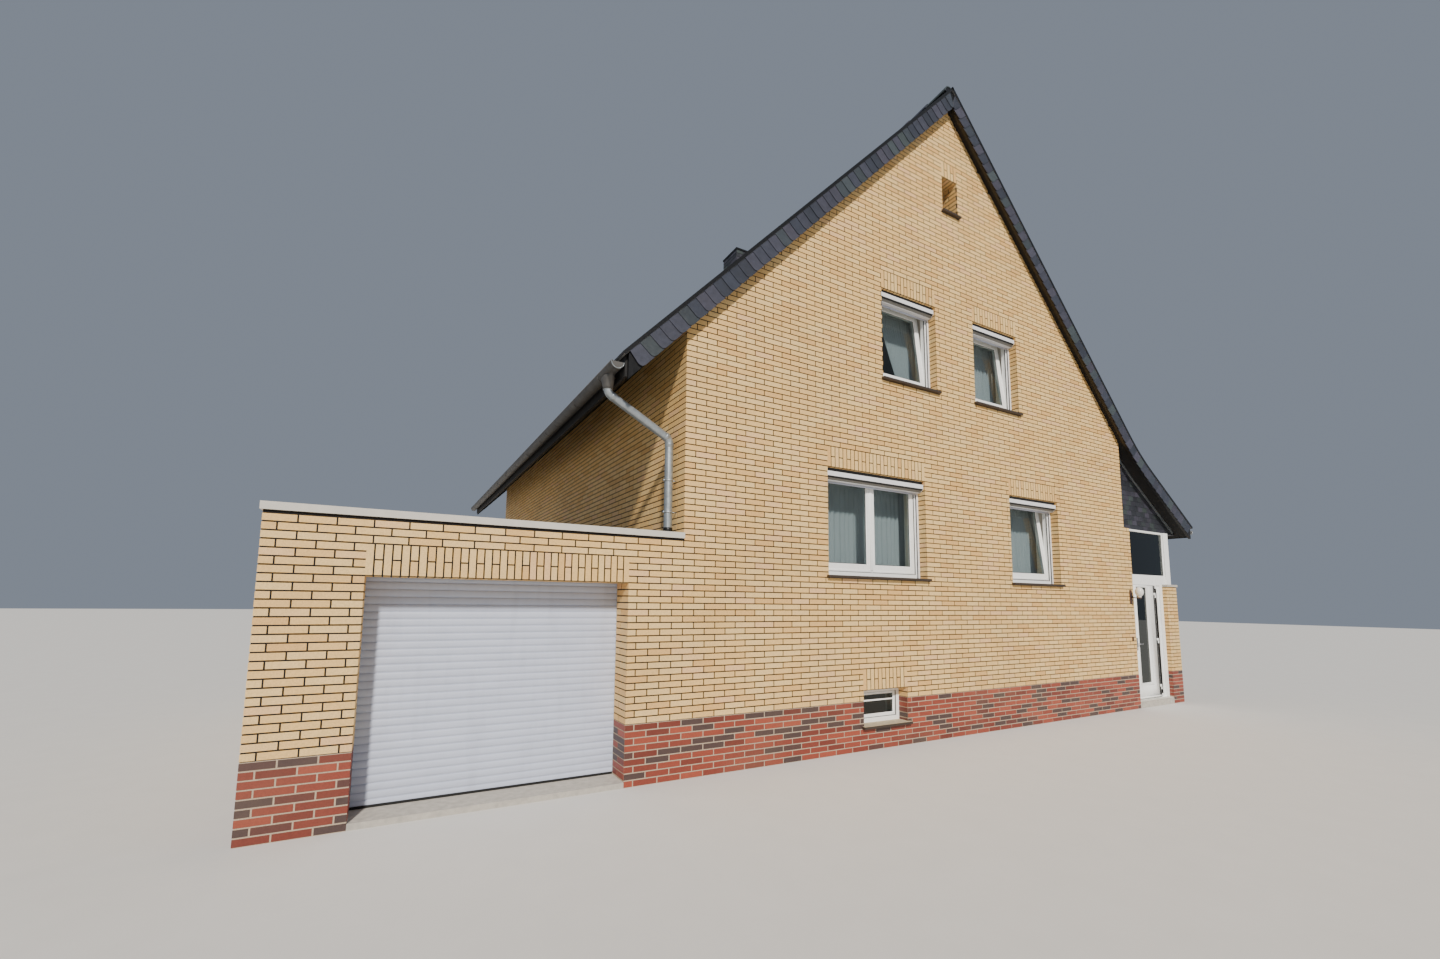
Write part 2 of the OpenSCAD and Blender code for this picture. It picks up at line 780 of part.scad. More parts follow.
// Garage with a roller door
module garage_front_wall() place() color(clinker) along_y(0, garage_front_t) difference() {
    translate([-garage_w, plinth_h]) square([garage_w, garage_h - plinth_h]);
    translate([garage_open_x, 0]) square([garage_open_w, garage_open_z]);
}

module garage_side_wall() place() color(clinker)
    box([-garage_w, garage_front_t, plinth_h], [-garage_w + garage_wall_t, garage_d, garage_h]);

module garage_back_wall() place() color(clinker)
    box([-garage_w + garage_wall_t, garage_d - garage_wall_t, plinth_h], [0, garage_d, garage_h]);

module garage_plinth() place() color(red_clinker) {
    box([garage_open_x + garage_open_w, 0, 0], [0, garage_front_t, plinth_h]);
    box([-garage_w, 0, 0], [garage_open_x, garage_front_t, plinth_h]);
    box([-garage_w, garage_front_t, 0], [-garage_w + garage_wall_t, garage_d, plinth_h]);
    box([-garage_w + garage_wall_t, garage_d - garage_wall_t, 0], [0, garage_d, plinth_h]);
}

module garage_floor() place() color(concrete) {
    box([garage_open_x, 0, 0], [garage_open_x + garage_open_w, garage_front_t, garage_floor_z]);
    box([-garage_w + garage_wall_t, garage_front_t, 0], [0, garage_d - garage_wall_t, garage_floor_z]);
}

module garage_roof() place() color(grey)
    box([-garage_w + garage_wall_t, garage_front_t, garage_h - garage_roof_t],
        [0, garage_d - garage_wall_t, garage_h]);

module garage_roof_trim() place() color(alu) {
    box([-garage_w - trim_out, -trim_out, garage_h], [0, trim_in, garage_h + trim_h]);
    box([-garage_w - trim_out, trim_in, garage_h], [-garage_w + trim_in, garage_d - trim_in, garage_h + trim_h]);
    box([-garage_w - trim_out, garage_d - trim_in, garage_h], [0, garage_d + trim_out, garage_h + trim_h]);
}

// The curtain of domed slats runs behind the jambs
rail_w = 60;
curtain_t = 12;
slat_dome = 6;
curtain_y = garage_front_t + 24;
curtain_top = garage_open_z + 30;

function slat_h() = (curtain_top - garage_floor_z) / slat_count;
function slat_edge(i) =
    [for (k = [0 : 4]) [curtain_y - slat_dome * sin(18 + 36 * k), garage_floor_z + (i + k / 4) * slat_h()]];

module garage_door() place() color(alu)
    along_x(garage_open_x - rail_w + 8, garage_open_x + garage_open_w + rail_w - 8)
        polygon(concat([for (i = [0 : slat_count - 1]) each slat_edge(i)],
            [[curtain_y + curtain_t, curtain_top], [curtain_y + curtain_t, garage_floor_z]]));

module rail(x0, x1) {
    box([x0, garage_front_t, garage_floor_z], [x1, curtain_y - slat_dome - 2, curtain_top]);
    box([x0, curtain_y + curtain_t + 2, garage_floor_z], [x1, curtain_y + curtain_t + 14, curtain_top]);
}

roller_box = 260;

module garage_door_rails() place() color(alu) {
    x0 = garage_open_x - rail_w;
    x1 = garage_open_x + garage_open_w;
    for (x = [x0, x1]) {
        rail(x, x + rail_w);
        web = x == x0 ? x0 : x1 + rail_w - 6;
        box([web, garage_front_t, garage_floor_z], [web + 6, curtain_y + curtain_t + 14, curtain_top]);
    }
    box([x0, garage_front_t, curtain_top],
        [x1 + rail_w, garage_front_t + roller_box, garage_h - garage_roof_t - 20]);
}

// Windows: every piece is drawn for a wall whose outer face is y = 0
function frame_z(w) = sill_z(w) + sill_t;
function frame_height(w) = head_z(w) - frame_z(w);
function leaf_width(w) = (w[1] - 2 * frame_w) / w[4];

module window_frame(w) {
    along_y(reveal, reveal + frame_t) translate([w[0], frame_z(w)])
        frame_ring(w[1], frame_height(w), frame_w);
}

// Moves a drawing of one sash to its place and tilts it in where the window stands open
module at_sash(w, i) {
    angle = w[5] ? tilt : 0;
    translate([w[0] + frame_w + i * leaf_width(w), reveal + frame_t, frame_z(w) + frame_w + eps])
        rotate([-angle, 0, 0]) children();
}

module sash(w) {
    width = leaf_width(w) - 2 * eps;
    height = frame_height(w) - 2 * frame_w - 2 * eps;
    along_y(-sash_t, 0) translate([eps, 0]) difference() {
        square([width, height]);
        sash_light(width, height);
    }
}

module sash_light(width, height) {
    translate([sash_w, sash_foot]) square([width - 2 * sash_w, height - sash_w - sash_foot]);
}

module sash_glass(w) {
    along_y(-sash_t / 2 - glass_t / 2, -sash_t / 2 + glass_t / 2) translate([eps, 0])
        sash_light(leaf_width(w) - 2 * eps, frame_height(w) - 2 * frame_w - 2 * eps);
}

module sill(w) {
    box([w[0], 0, sill_z(w)], [w[0] + w[1], reveal + frame_t, frame_z(w)]);
    box([w[0] - sill_side, -sill_out, sill_z(w)], [w[0] + w[1] + sill_side, 0, frame_z(w)]);
}

shutter_slant = 45;
shutter_side = 15;
guide_w = 32;
guide_t = 26;

// A shutter box with a slanted lower front sits under the lintel, guides run down from it
module shutter(w) {
    top = head_z(w) - shutter_gap;
    low = top - shutter_h;
    along_x(w[0] + shutter_side, w[0] + w[1] - shutter_side)
        polygon([[shutter_set, top], [shutter_set, low + shutter_slant], [shutter_set + shutter_slant, low],
            [reveal - eps, low], [reveal - eps, top]]);
    for (x = [w[0], w[0] + w[1] - guide_w])
        box([x, reveal - guide_t, frame_z(w)], [x + guide_w, reveal, low - eps]);
}

function shut(w) = [w[0], w[1], w[2], w[3], w[4], false];
function all_front() = concat(gable_windows, [cellar_window]);
function all_back() = [for (w = all_front()) shut(w)];

module to_aisle() {
    translate([annex_x, 0, 0]) rotate([0, 0, 90]) children();
}

vent_back = 100;
vent_t = 40;

module vent_pane() {
    along_y(wall_t - vent_back, wall_t - vent_back + vent_t) translate([attic_vent[0], sill_z(attic_vent)])
        square([attic_vent[1], head_z(attic_vent) - sill_z(attic_vent)]);
}

module attic_panels() place() color(dark_board) {
    vent_pane();
    to_back() vent_pane();
}

module window_frames() place() color(pvc) {
    for (w = all_front()) window_frame(w);
    to_back() for (w = all_back()) window_frame(w);
    to_aisle() window_frame(aisle_window);
}

module sashes(w) {
    for (i = [0 : w[4] - 1]) at_sash(w, i) sash(w);
}

module panes(w) {
    for (i = [0 : w[4] - 1]) at_sash(w, i) sash_glass(w);
}

module window_sashes() place() color(pvc) {
    for (w = all_front()) sashes(w);
    to_back() for (w = all_back()) sashes(w);
    to_aisle() sashes(aisle_window);
}

module window_glass() place() color(pane) {
    for (w = all_front()) panes(w);
    to_back() for (w = all_back()) panes(w);
    to_aisle() panes(aisle_window);
}

module vent_sill() {
    box([attic_vent[0], 0, sill_z(attic_vent)],
        [attic_vent[0] + attic_vent[1], wall_t - vent_back, sill_z(attic_vent) + sill_t]);
    box([attic_vent[0] - sill_side, -sill_out, sill_z(attic_vent)],
        [attic_vent[0] + attic_vent[1] + sill_side, 0, sill_z(attic_vent) + sill_t]);
}

module window_sills() place() color(stone) {
    for (w = all_front()) sill(w);
    to_back() for (w = all_back()) sill(w);
    to_aisle() sill(aisle_window);
    vent_sill();
    to_back() vent_sill();
}

module shutters() place() color(alu) {
    for (w = gable_windows) shutter(w);
    to_back() for (w = gable_windows) shutter(w);
}

// Net curtains hang from the ceilings behind the living and bedroom windows
curtain_side = 150;
curtain_gap = 60;
curtain_fold = 30;

function ceiling_over(w) = (head_z(w) < upper_floor_z ? upper_floor_z : attic_floor_z) - floor_t;

module curtain(w) {
    along_y(wall_t + curtain_gap, wall_t + curtain_gap + curtain_fold)
        translate([w[0] - curtain_side, sill_z(w) - curtain_side])
            square([w[1] + 2 * curtain_side, ceiling_over(w) - sill_z(w) + curtain_side]);
}

module net_curtains() place() color("white") {
    for (w = gable_windows) curtain(w);
    to_back() for (w = gable_windows) curtain(w);
}

front_wall_piers();
front_wall_bands();
back_wall_piers();
back_wall_bands();
left_wall();
right_wall();
front_plinth();
back_plinth();
side_plinths();
ground_floor();
upper_floor();
attic_floor();
roof_deck_left();
roof_deck_right();
roof_tiles_left();
roof_tiles_right();
ridge_tiles();
verge_boards();
fascias();
gutters();
gutter_brackets();
downpipes();
chimney();
chimney_cap();
porch_jamb_wall();
porch_parapet();
parapet_coping();
aisle_side_wall();
aisle_back_wall();
aisle_plinth();
aisle_floor();
slate_gables();
porch_beam();
porch_frames();
porch_glass();
door_frame();
front_door();
door_pane();
door_handle();
wall_lamp();
garage_front_wall();
garage_side_wall();
garage_back_wall();
garage_plinth();
garage_floor();
garage_roof();
garage_roof_trim();
garage_door();
garage_door_rails();
window_frames();
window_sashes();
window_glass();
window_sills();
shutters();
attic_panels();
net_curtains();
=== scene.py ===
# Detached brick house with a flat-roofed garage and a glazed porch, dressed over its solid model.
# Lengths are metres. X runs along the street front, Y into the depth, Z up.
import math
import random

import bmesh
import bpy
from bpy.props import FloatProperty, FloatVectorProperty, IntProperty, PointerProperty
from mathutils import Matrix, Vector


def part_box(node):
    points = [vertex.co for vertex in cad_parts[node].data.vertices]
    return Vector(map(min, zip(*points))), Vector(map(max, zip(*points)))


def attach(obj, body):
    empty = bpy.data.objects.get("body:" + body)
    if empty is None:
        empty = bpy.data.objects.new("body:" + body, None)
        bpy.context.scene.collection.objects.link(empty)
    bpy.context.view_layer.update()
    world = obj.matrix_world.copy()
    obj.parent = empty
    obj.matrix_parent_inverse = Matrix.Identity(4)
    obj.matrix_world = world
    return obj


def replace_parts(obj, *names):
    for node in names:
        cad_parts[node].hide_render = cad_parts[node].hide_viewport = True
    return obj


bl_info = {
    "name": "Brick house dressing",
    "version": (1, 0, 0),
    "blender": (4, 5, 0),
    "location": "3D View > Sidebar > House",
    "description": "Lays the brick slips, slates, slats and trim of a detached house over its solid model",
    "category": "Object",
}

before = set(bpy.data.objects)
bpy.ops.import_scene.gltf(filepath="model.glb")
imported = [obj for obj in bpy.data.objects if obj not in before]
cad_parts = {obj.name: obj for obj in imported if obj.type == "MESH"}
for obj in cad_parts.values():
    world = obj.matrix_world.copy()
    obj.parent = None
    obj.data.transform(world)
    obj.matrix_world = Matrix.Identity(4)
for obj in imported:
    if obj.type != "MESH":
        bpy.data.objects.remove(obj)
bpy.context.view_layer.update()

# The house's own corner: left end of the street gable, on the ground
CORNER = Vector(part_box("front_wall_bands")[0])
CORNER.z = 0.0
X, Y, Z = Vector((1, 0, 0)), Vector((0, 1, 0)), Vector((0, 0, 1))


def reach(node):
    """Lowest and highest corner of a solid, measured from the house's corner."""
    low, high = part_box(node)
    return Vector(low) - CORNER, Vector(high) - CORNER


# Edges of the solids that the pieces start from
WIDTH = reach("front_wall_bands")[1].x
DEPTH = reach("back_wall_bands")[1].y
RIDGE_Z = reach("roof_tiles_left")[1].z
PLINTH_Z = reach("front_plinth")[1].z
EAVE_LEFT = reach("roof_deck_left")[0].x
EAVE_RIGHT = reach("roof_deck_right")[1].x
JAMB_X = reach("porch_jamb_wall")[1].x
ANNEX_X = reach("aisle_side_wall")[1].x
PIER_X = reach("porch_parapet")[0].x
PORCH_LENGTH = reach("porch_parapet")[1].y
PARAPET_Z = reach("porch_parapet")[1].z
SLATE_Z = reach("slate_gables")[0].z
SLATE_Y = reach("slate_gables")[0].y
GARAGE_X = reach("garage_side_wall")[0].x
GARAGE_Y = reach("garage_back_wall")[1].y
GARAGE_Z = reach("garage_front_wall")[1].z
VERGE_Y = reach("verge_boards")[0].y
SIDE_LIGHT_X = reach("porch_frames")[1].x
FAN_Z = reach("door_frame")[1].z

# Height of a brick course, and openings as left edge, right edge, sill and head, seen from outside
COURSE = 0.064


def opening(x, width, sill, head):
    """An opening whose sill and head are counted in courses."""
    return (x, x + width, sill * COURSE, head * COURSE)


LIVING = opening(1.93, 1.70, 32, 53)
KITCHEN = opening(5.47, 1.24, 32, 53)
BEDROOMS = (opening(2.90, 1.05, 73, 93), opening(WIDTH - 2.90 - 1.05, 1.05, 73, 93))
CELLAR = opening(2.45, 0.75, 4, 11)
VENT = opening(WIDTH / 2 - 0.165, 0.33, 117, 126)
AISLE = opening(5.60, 1.05, 23, 43)
GARAGE_OPENING = (-2.82, -0.60, 0.0, 30 * COURSE)
ROOMS = (LIVING, KITCHEN) + BEDROOMS
GABLE_OPENINGS = ROOMS + (CELLAR, VENT)
LINTEL = 4 * COURSE

# How far the reveals are lined, and the thickness of a stone sill
REVEAL = 0.14
DEEP_REVEALS = {GARAGE_OPENING: 0.30, VENT: 0.255}
SILL = 0.032

# Depths below the top of the roof line: slates, felt, and slates with boarding
FELT_TOP, FELT_FOOT, ROOF_DEPTH = 0.034, 0.0395, 0.206

# Porch: its front face, door leaf width, transom height over the parapet and corner post width
PORCH_Y, LEAF_WIDTH, TRANSOM, POST = 0.065, 0.78, 0.040, 0.165


def linear(value):
    """Turns an sRGB hex value into linear red, green and blue."""
    parts = [int(value[i : i + 2], 16) / 255 for i in (1, 3, 5)]
    return tuple(p / 12.92 if p <= 0.04045 else ((p + 0.055) / 1.055) ** 2.4 for p in parts)


def colour(name, tip, value):
    """A colour property whose default is an sRGB hex value."""
    return FloatVectorProperty(
        name=name, description=tip, subtype="COLOR", size=3, min=0.0, max=1.0, default=linear(value)
    )


def metres(name, tip, value):
    return FloatProperty(name=name, description=tip, default=value, unit="LENGTH")


def degrees(name, tip, value):
    return FloatProperty(name=name, description=tip, default=math.radians(value), subtype="ANGLE")


def strength(name, tip, value):
    return FloatProperty(name=name, description=tip, default=value, min=0.0)


def whole(name, tip, value):
    return IntProperty(name=name, description=tip, default=value)


class FacingSizes(bpy.types.PropertyGroup):
    """Sizes of the brick slips"""

    length: metres("Slip length", "Length of a full slip", 0.240)
    height: metres("Slip height", "Height of a slip", 0.052)
    joint: metres("Joint", "Width of the mortar joint", 0.012)
    proud: metres("Proud", "How far a slip stands out of its joint", 0.003)
    seed: whole("Seed", "Seed of the firing shades", 11)


class RoofSizes(bpy.types.PropertyGroup):
    """Sizes of the roof lines and slates"""

    pitch: degrees("Pitch", "Pitch of the main slopes", 46)
    eave_pitch: degrees("Eave pitch", "Pitch of the flared eave", 33)
    flare_radius: metres("Flare radius", "Radius of the flare", 4.0)
    flare_start: metres("Flare start", "Distance from the wall to the flare", 0.16)
    gauge: metres("Gauge", "Height of a slate row that shows", 0.11)
    slate_width: metres("Slate width", "Width of a roof slate", 0.20)
    slate_thickness: metres("Slate thickness", "Thickness of a roof slate", 0.009)
    bed: metres("Slate bed", "Depth of a slate's head below the roof line", 0.031)
    verge_width: metres("Verge slate width", "Width of a slate on the verge boards", 0.148)
    small_slate: metres("Small slate", "Width of a slate on chimney and porch gable", 0.16)
    ridge_step: metres("Ridge tile", "Length of a ridge tile that shows", 0.36)
    seed: whole("Seed", "Seed of the slate shades", 23)


class TrimSizes(bpy.types.PropertyGroup):
    """Sizes of slats, gaskets, metalwork and curtains"""

    slats: whole("Slats", "Number of slats in the roller door", 30)
    slat_dome: metres("Slat dome", "Depth of the dome on a slat", 0.007)
    gasket: metres("Gasket", "Width of the black gasket round a pane", 0.006)
    bead: metres("Gutter bead", "Radius of the rolled gutter edge", 0.009)
    fold: metres("Curtain fold", "Width of one fold of the net curtains", 0.085)
    fold_depth: metres("Fold depth", "Depth of a fold to each side", 0.0125)


class HouseColours(bpy.types.PropertyGroup):
    """Colours of the finishes"""

    buff: colour("Buff slip", "Common buff slip", "#EBC07A")
    buff_pale: colour("Pale slip", "Palest buff slip", "#EEC886")
    buff_pink: colour("Pink slip", "Pinkish slip", "#EBBD86")
    buff_dark: colour("Dark slip", "Darkest buff slip", "#E0B06B")
    joint: colour("Joint", "Mortar of the buff walls", "#17120E")
    red: colour("Red slip", "Common plinth slip", "#843B2C")
    red_dark: colour("Dark red slip", "Darkest plinth slip", "#4C3A36")
    plinth_joint: colour("Plinth joint", "Mortar of the plinth", "#B5A28B")
    slate: colour("Slate", "Roof and verge slates", "#2C303B")
    small_slate: colour("Small slate", "Slates of chimney and porch gable", "#24262C")
    edge: colour("Edge strip", "Black metal on the verges", "#0A0A0B")
    # Near-black boards: dark stain, with painted shade under the eaves and at the back of the attic vent
    timber: colour("Soffit", "Dark stained boards", "#100E0D")
    zinc: colour("Zinc", "Downpipes, flashing and fittings", "#A9B0B3")
    old_zinc: colour("Old zinc", "Gutters and their brackets", "#5A5855")
    pale_sill: colour("Pale sill", "Top of the cellar sills", "#B9A98A")
    # Darker grey of the slanted flaps: painted shade on their downward slant
    flap: colour("Flap", "Slanted flaps under the shutter boxes", "#74726C")
    shutter: colour("Shutter box", "Shutter boxes and guides", "#E6E6E8")
    frame_white: colour("White profile", "Window and door profiles", "#FAFBF8")
    slat: colour("Slat", "Roller door", "#C2C9DA")
    trim: colour("Roof trim", "Metal trim of the garage roof", "#CDC8BD")
    sill: colour("Sill", "Stone sills", "#3B3027")
    pane: colour("Pane", "Tint of the panes", "#E6ECEC")
    # Dark green tint of the porch and door panes: painted reflection of trees
    porch_pane: colour("Porch pane", "Tint of the porch and door panes", "#77856F")
    net: colour("Net", "Net curtains", "#F6F8FC")
    concrete: colour("Concrete", "Slabs and coping", "#B4AEA3")
    plaster: colour("Plaster", "Inner walls", "#E2DDD2")


class StageSettings(bpy.types.PropertyGroup):
    """Camera, floor and light"""

    lens: FloatProperty(name="Lens", description="Focal length", default=14.187, unit="CAMERA")
    key: strength("Key light", "Strength of the soft key light", 4.7)
    fill: strength("Fill light", "Strength of the light from all sides", 0.33)
    floor: colour("Floor", "Pale studio floor", "#D9D7D2")
    backdrop: colour("Backdrop", "Pale studio backdrop", "#D3E0F4")


# Mesh making


def circle(centre, side, up, radius, sides):
    """Points round a centre in the plane of side and up."""
    turns = (2 * math.pi * k / sides for k in range(sides))
    return [centre + (side * math.cos(t) + up * math.sin(t)) * radius for t in turns]


class Shape:
    """Collects corners and faces, measured from the house's corner."""

    def __init__(self):
        self.points, self.faces = [], []

    def face(self, corners):
        start = len(self.points)
        self.points.extend(Vector(c) for c in corners)
        self.faces.append(tuple(range(start, start + len(corners))))

    def box(self, low, high):
        start = len(self.points)
        x, y, z = zip(low, high)
        self.points.extend(
            Vector((x[i], y[j], z[k])) for k in (0, 1) for i, j in ((0, 0), (1, 0), (1, 1), (0, 1))
        )
        for quad in ((0, 3, 2, 1), (4, 5, 6, 7), (0, 1, 5, 4), (1, 2, 6, 5), (2, 3, 7, 6), (3, 0, 4, 7)):
            self.faces.append(tuple(start + q for q in quad))

    def rings(self, rings, closed=False):
        """Skins a row of rings with the same number of corners."""
        start, n, count = len(self.points), len(rings[0]), len(rings)
        for ring in rings:
            self.points.extend(Vector(p) for p in ring)
        for i in range(count if closed else count - 1):
            a, b = start + i * n, start + (i + 1) % count * n
            for k in range(n):
                m = (k + 1) % n
                self.faces.append((a + k, a + m, b + m, b + k))
        if not closed:
            self.faces.append(tuple(start + k for k in reversed(range(n))))
            self.faces.append(tuple(start + (count - 1) * n + k for k in range(n)))

    def tube(self, path, radius, sides):
        """A round bar along a path of points, with one radius or one for each point."""
        path = [Vector(p) for p in path]
        radii = radius if isinstance(radius, list) else [radius] * len(path)
        rings, side = [], None
        for i, (p, r) in enumerate(zip(path, radii)):
            ahead = (path[min(i + 1, len(path) - 1)] - path[max(i - 1, 0)]).normalized()
            if side is None:
                side = ahead.orthogonal().normalized()
            side = (side - ahead * side.dot(ahead)).normalized()
            rings.append(circle(p, side, ahead.cross(side), r, sides))
        self.rings(rings)

    def lathe(self, centre, axis, profile, sides):
        """Turns a profile of (distance along axis, radius) round the axis."""
        centre, axis = Vector(centre), Vector(axis).normalized()
        side = axis.orthogonal().normalized()
        up = axis.cross(side)
        self.rings([circle(centre + axis * h, side, up, max(r, 1e-5), sides) for h, r in profile])


def linked(name, mesh):
    """A new object in the scene for a mesh."""
    obj = bpy.data.objects.new(name, mesh)
    bpy.context.scene.collection.objects.link(obj)
    return obj


def raw_object(name, shape):
    mesh = bpy.data.meshes.new(name)
    mesh.from_pydata([p + CORNER for p in shape.points], [], shape.faces)
    mesh.update()
    return linked(name, mesh)


def clean(obj, smooth=False):
    """Merges doubles, turns every face outwards and shades the piece smooth where asked."""
    work = bmesh.new()
    work.from_mesh(obj.data)
    bmesh.ops.remove_doubles(work, verts=work.verts, dist=1e-5)
    bmesh.ops.recalc_face_normals(work, faces=work.faces)
    work.to_mesh(obj.data)
    work.free()
    if smooth:
        obj.data.polygons.foreach_set("use_smooth", [True] * len(obj.data.polygons))
    return obj


def settle(obj, finish, body="house"):
    """Gives a finished piece its finish, slot and body."""
    obj.data.materials.clear()
    obj.data.materials.append(FINISH[finish])
    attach(obj, body)
    return obj


def solid(name, shape, finish, body="house", smooth=False):
    """A closed piece made of a shape."""
    return settle(clean(raw_object(name, shape), smooth), finish, body)


def add(tree, kind, wires=None, **settings):
    """Adds a node with its settings; wires gives each input socket a value or the socket that feeds it."""
    node = tree.nodes.new(kind)
    for key, value in settings.items():
        setattr(node, key, value)
    for key, value in (wires or {}).items():
        socket = node.inputs[key]
        if isinstance(value, bpy.types.Node):
            value = value.outputs[0]
        if isinstance(value, bpy.types.NodeSocket):
            tree.links.new(value, socket)
        else:
            socket.default_value = (*value[:3], 1.0) if socket.type == "RGBA" else value
    return node


def new_tree(name, *inputs):
    """A geometry tree with the named inputs, a seed and a material; returns it with its group input node."""
    tree = bpy.data.node_groups.new(name, "GeometryNodeTree")
    tree.interface.new_socket("Geometry", in_out="INPUT", socket_type="NodeSocketGeometry")
    for label, kind in inputs + (("Seed", "Int"), ("Material", "Material")):
        tree.interface.new_socket(label, in_out="INPUT", socket_type="NodeSocket" + kind)
    tree.interface.new_socket("Geometry", in_out="OUTPUT", socket_type="NodeSocketGeometry")
    return tree, tree.nodes.new("NodeGroupInput")


def close_tree(tree, geometry, given):
    """Ends a tree: a random shade and tone for each separate plate, instances realized, material set."""
    real = add(tree, "GeometryNodeRealizeInstances", {0: geometry})
    island = add(tree, "GeometryNodeInputMeshIsland")
    for label, extra in (("shade", 0), ("tone", 7)):
        seed = add(tree, "ShaderNodeMath", {0: given.outputs["Seed"], 1: extra}, operation="ADD")
        pick = add(
            tree, "FunctionNodeRandomValue", {"ID": island.outputs["Island Index"], "Seed": seed},
            data_type="FLOAT"
        )
        wires = {"Geometry": real, "Name": label, "Value": pick.outputs[1]}
        real = add(tree, "GeometryNodeStoreNamedAttribute", wires, data_type="FLOAT", domain="FACE")
    end = add(tree, "GeometryNodeSetMaterial", {"Geometry": real, "Material": given.outputs["Material"]})
    add(tree, "NodeGroupOutput", {0: end})
    return tree


def plate_tree():
    """Thickens each flat outline along its own normal into a closed plate."""
    tree, given = new_tree("plates", ("Thickness", "Float"), ("Unevenness", "Float"))
    outline, thickness, uneven, seed = (
        given.outputs[k] for k in ("Geometry", "Thickness", "Unevenness", "Seed")
    )
    low = add(tree, "ShaderNodeMath", {0: thickness, 1: uneven}, operation="SUBTRACT")
    high = add(tree, "ShaderNodeMath", {0: thickness, 1: uneven}, operation="ADD")
    rise = add(
        tree, "FunctionNodeRandomValue", {2: low, 3: high, "Seed": seed}, data_type="FLOAT"
    ).outputs[1]
    grown = add(
        tree, "GeometryNodeExtrudeMesh", {"Mesh": outline, "Offset Scale": rise, "Individual": True},
        mode="FACES"
    )
    base = add(tree, "GeometryNodeFlipFaces", {"Mesh": outline})
    joined = add(tree, "GeometryNodeJoinGeometry")
    for part in (grown, base):
        tree.links.new(part.outputs[0], joined.inputs[0])
    merged = add(tree, "GeometryNodeMergeByDistance", {"Geometry": joined, "Distance": 0.00002})
    return close_tree(tree, merged, given)


def row_tree():
    """Repeats one piece in a straight row."""
    tree, given = new_tree("rows", ("Count", "Int"), ("Step", "Vector"))
    count, step, piece = (given.outputs[k] for k in ("Count", "Step", "Geometry"))
    line = add(tree, "GeometryNodeMeshLine", {"Count": count, "Offset": step}, mode="OFFSET")
    copies = add(tree, "GeometryNodeInstanceOnPoints", {"Points": line, "Instance": piece})
    return close_tree(tree, copies, given)


def grow(name, shape, tree, values, finish):
    """Runs a tree on the given outlines and keeps its result as a plain mesh."""
    seedling = raw_object(name + "_raw", shape)
    modifier = seedling.modifiers.new("grow", "NODES")
    modifier.node_group = tree
    values = {**values, "Material": FINISH[finish]}
    for item in tree.interface.items_tree:
        if item.in_out == "INPUT" and item.name in values:
            modifier[item.identifier] = values[item.name]
    ready = seedling.evaluated_get(bpy.context.evaluated_depsgraph_get())
    mesh = bpy.data.meshes.new_from_object(ready)
    seedling.modifiers.remove(modifier)
    bpy.data.objects.remove(seedling)
    if not mesh.polygons:
        raise RuntimeError(f"{name} came out empty")
    mesh.name = name
    return settle(linked(name, mesh), finish)


# Laying out slips and slates


class Wall:
    """A plane to lay plates on: u runs along it, v up it, and plates stand out along its normal."""

    def __init__(self, origin, along, up=Z, shift=0.0):
        """Shift moves the bond of the slips along the wall."""
        self.origin, self.along, self.up, self.shift = Vector(origin), Vector(along), Vector(up), shift
        self.normal = self.along.cross(self.up)

    def at(self, u, v, out=0.0):
        return self.origin + self.along * u + self.up * v + self.normal * out

    def rect(self, u0, u1, v0, v1, out=0.0):
        return [self.at(u, v, out) for u, v in ((u0, v0), (u1, v0), (u1, v1), (u0, v1))]


def left_over(spans, low, high):
    """What is left of each span outside low to high."""
    kept = []
    for a, b in spans:
        if high <= a or low >= b:
            kept.append((a, b))
        else:
            kept.extend(s for s in ((a, low), (high, b)) if s[1] - s[0] > 0.001)
    return kept


def trimmed(outline, lines):
    """Cuts a flat outline by slanted lines (a, b, c), keeping a * u + b * v <= c."""
    for a, b, c in lines:
        kept = []
        for i, p in enumerate(outline):
            q = outline[(i + 1) % len(outline)]
            dp, dq = a * p[0] + b * p[1] - c, a * q[0] + b * q[1] - c
            if dp <= 0:
                kept.append(p)
            if (dp < 0 < dq) or (dq < 0 < dp):
                t = dp / (dp - dq)
                kept.append((p[0] + (q[0] - p[0]) * t, p[1] + (q[1] - p[1]) * t))
        outline = kept
        if len(outline) < 3:
            return []
    return outline


def flat_area(outline):
    return abs(sum(p[0] * q[1] - q[0] * p[1] for p, q in zip(outline, outline[1:] + outline[:1]))) / 2


# Shortest slip, below which it is joined to its neighbour, and the smallest bits worth laying
SHORT_SLIP, SLIVER, SCRAP = 0.05, 0.004, 0.0006


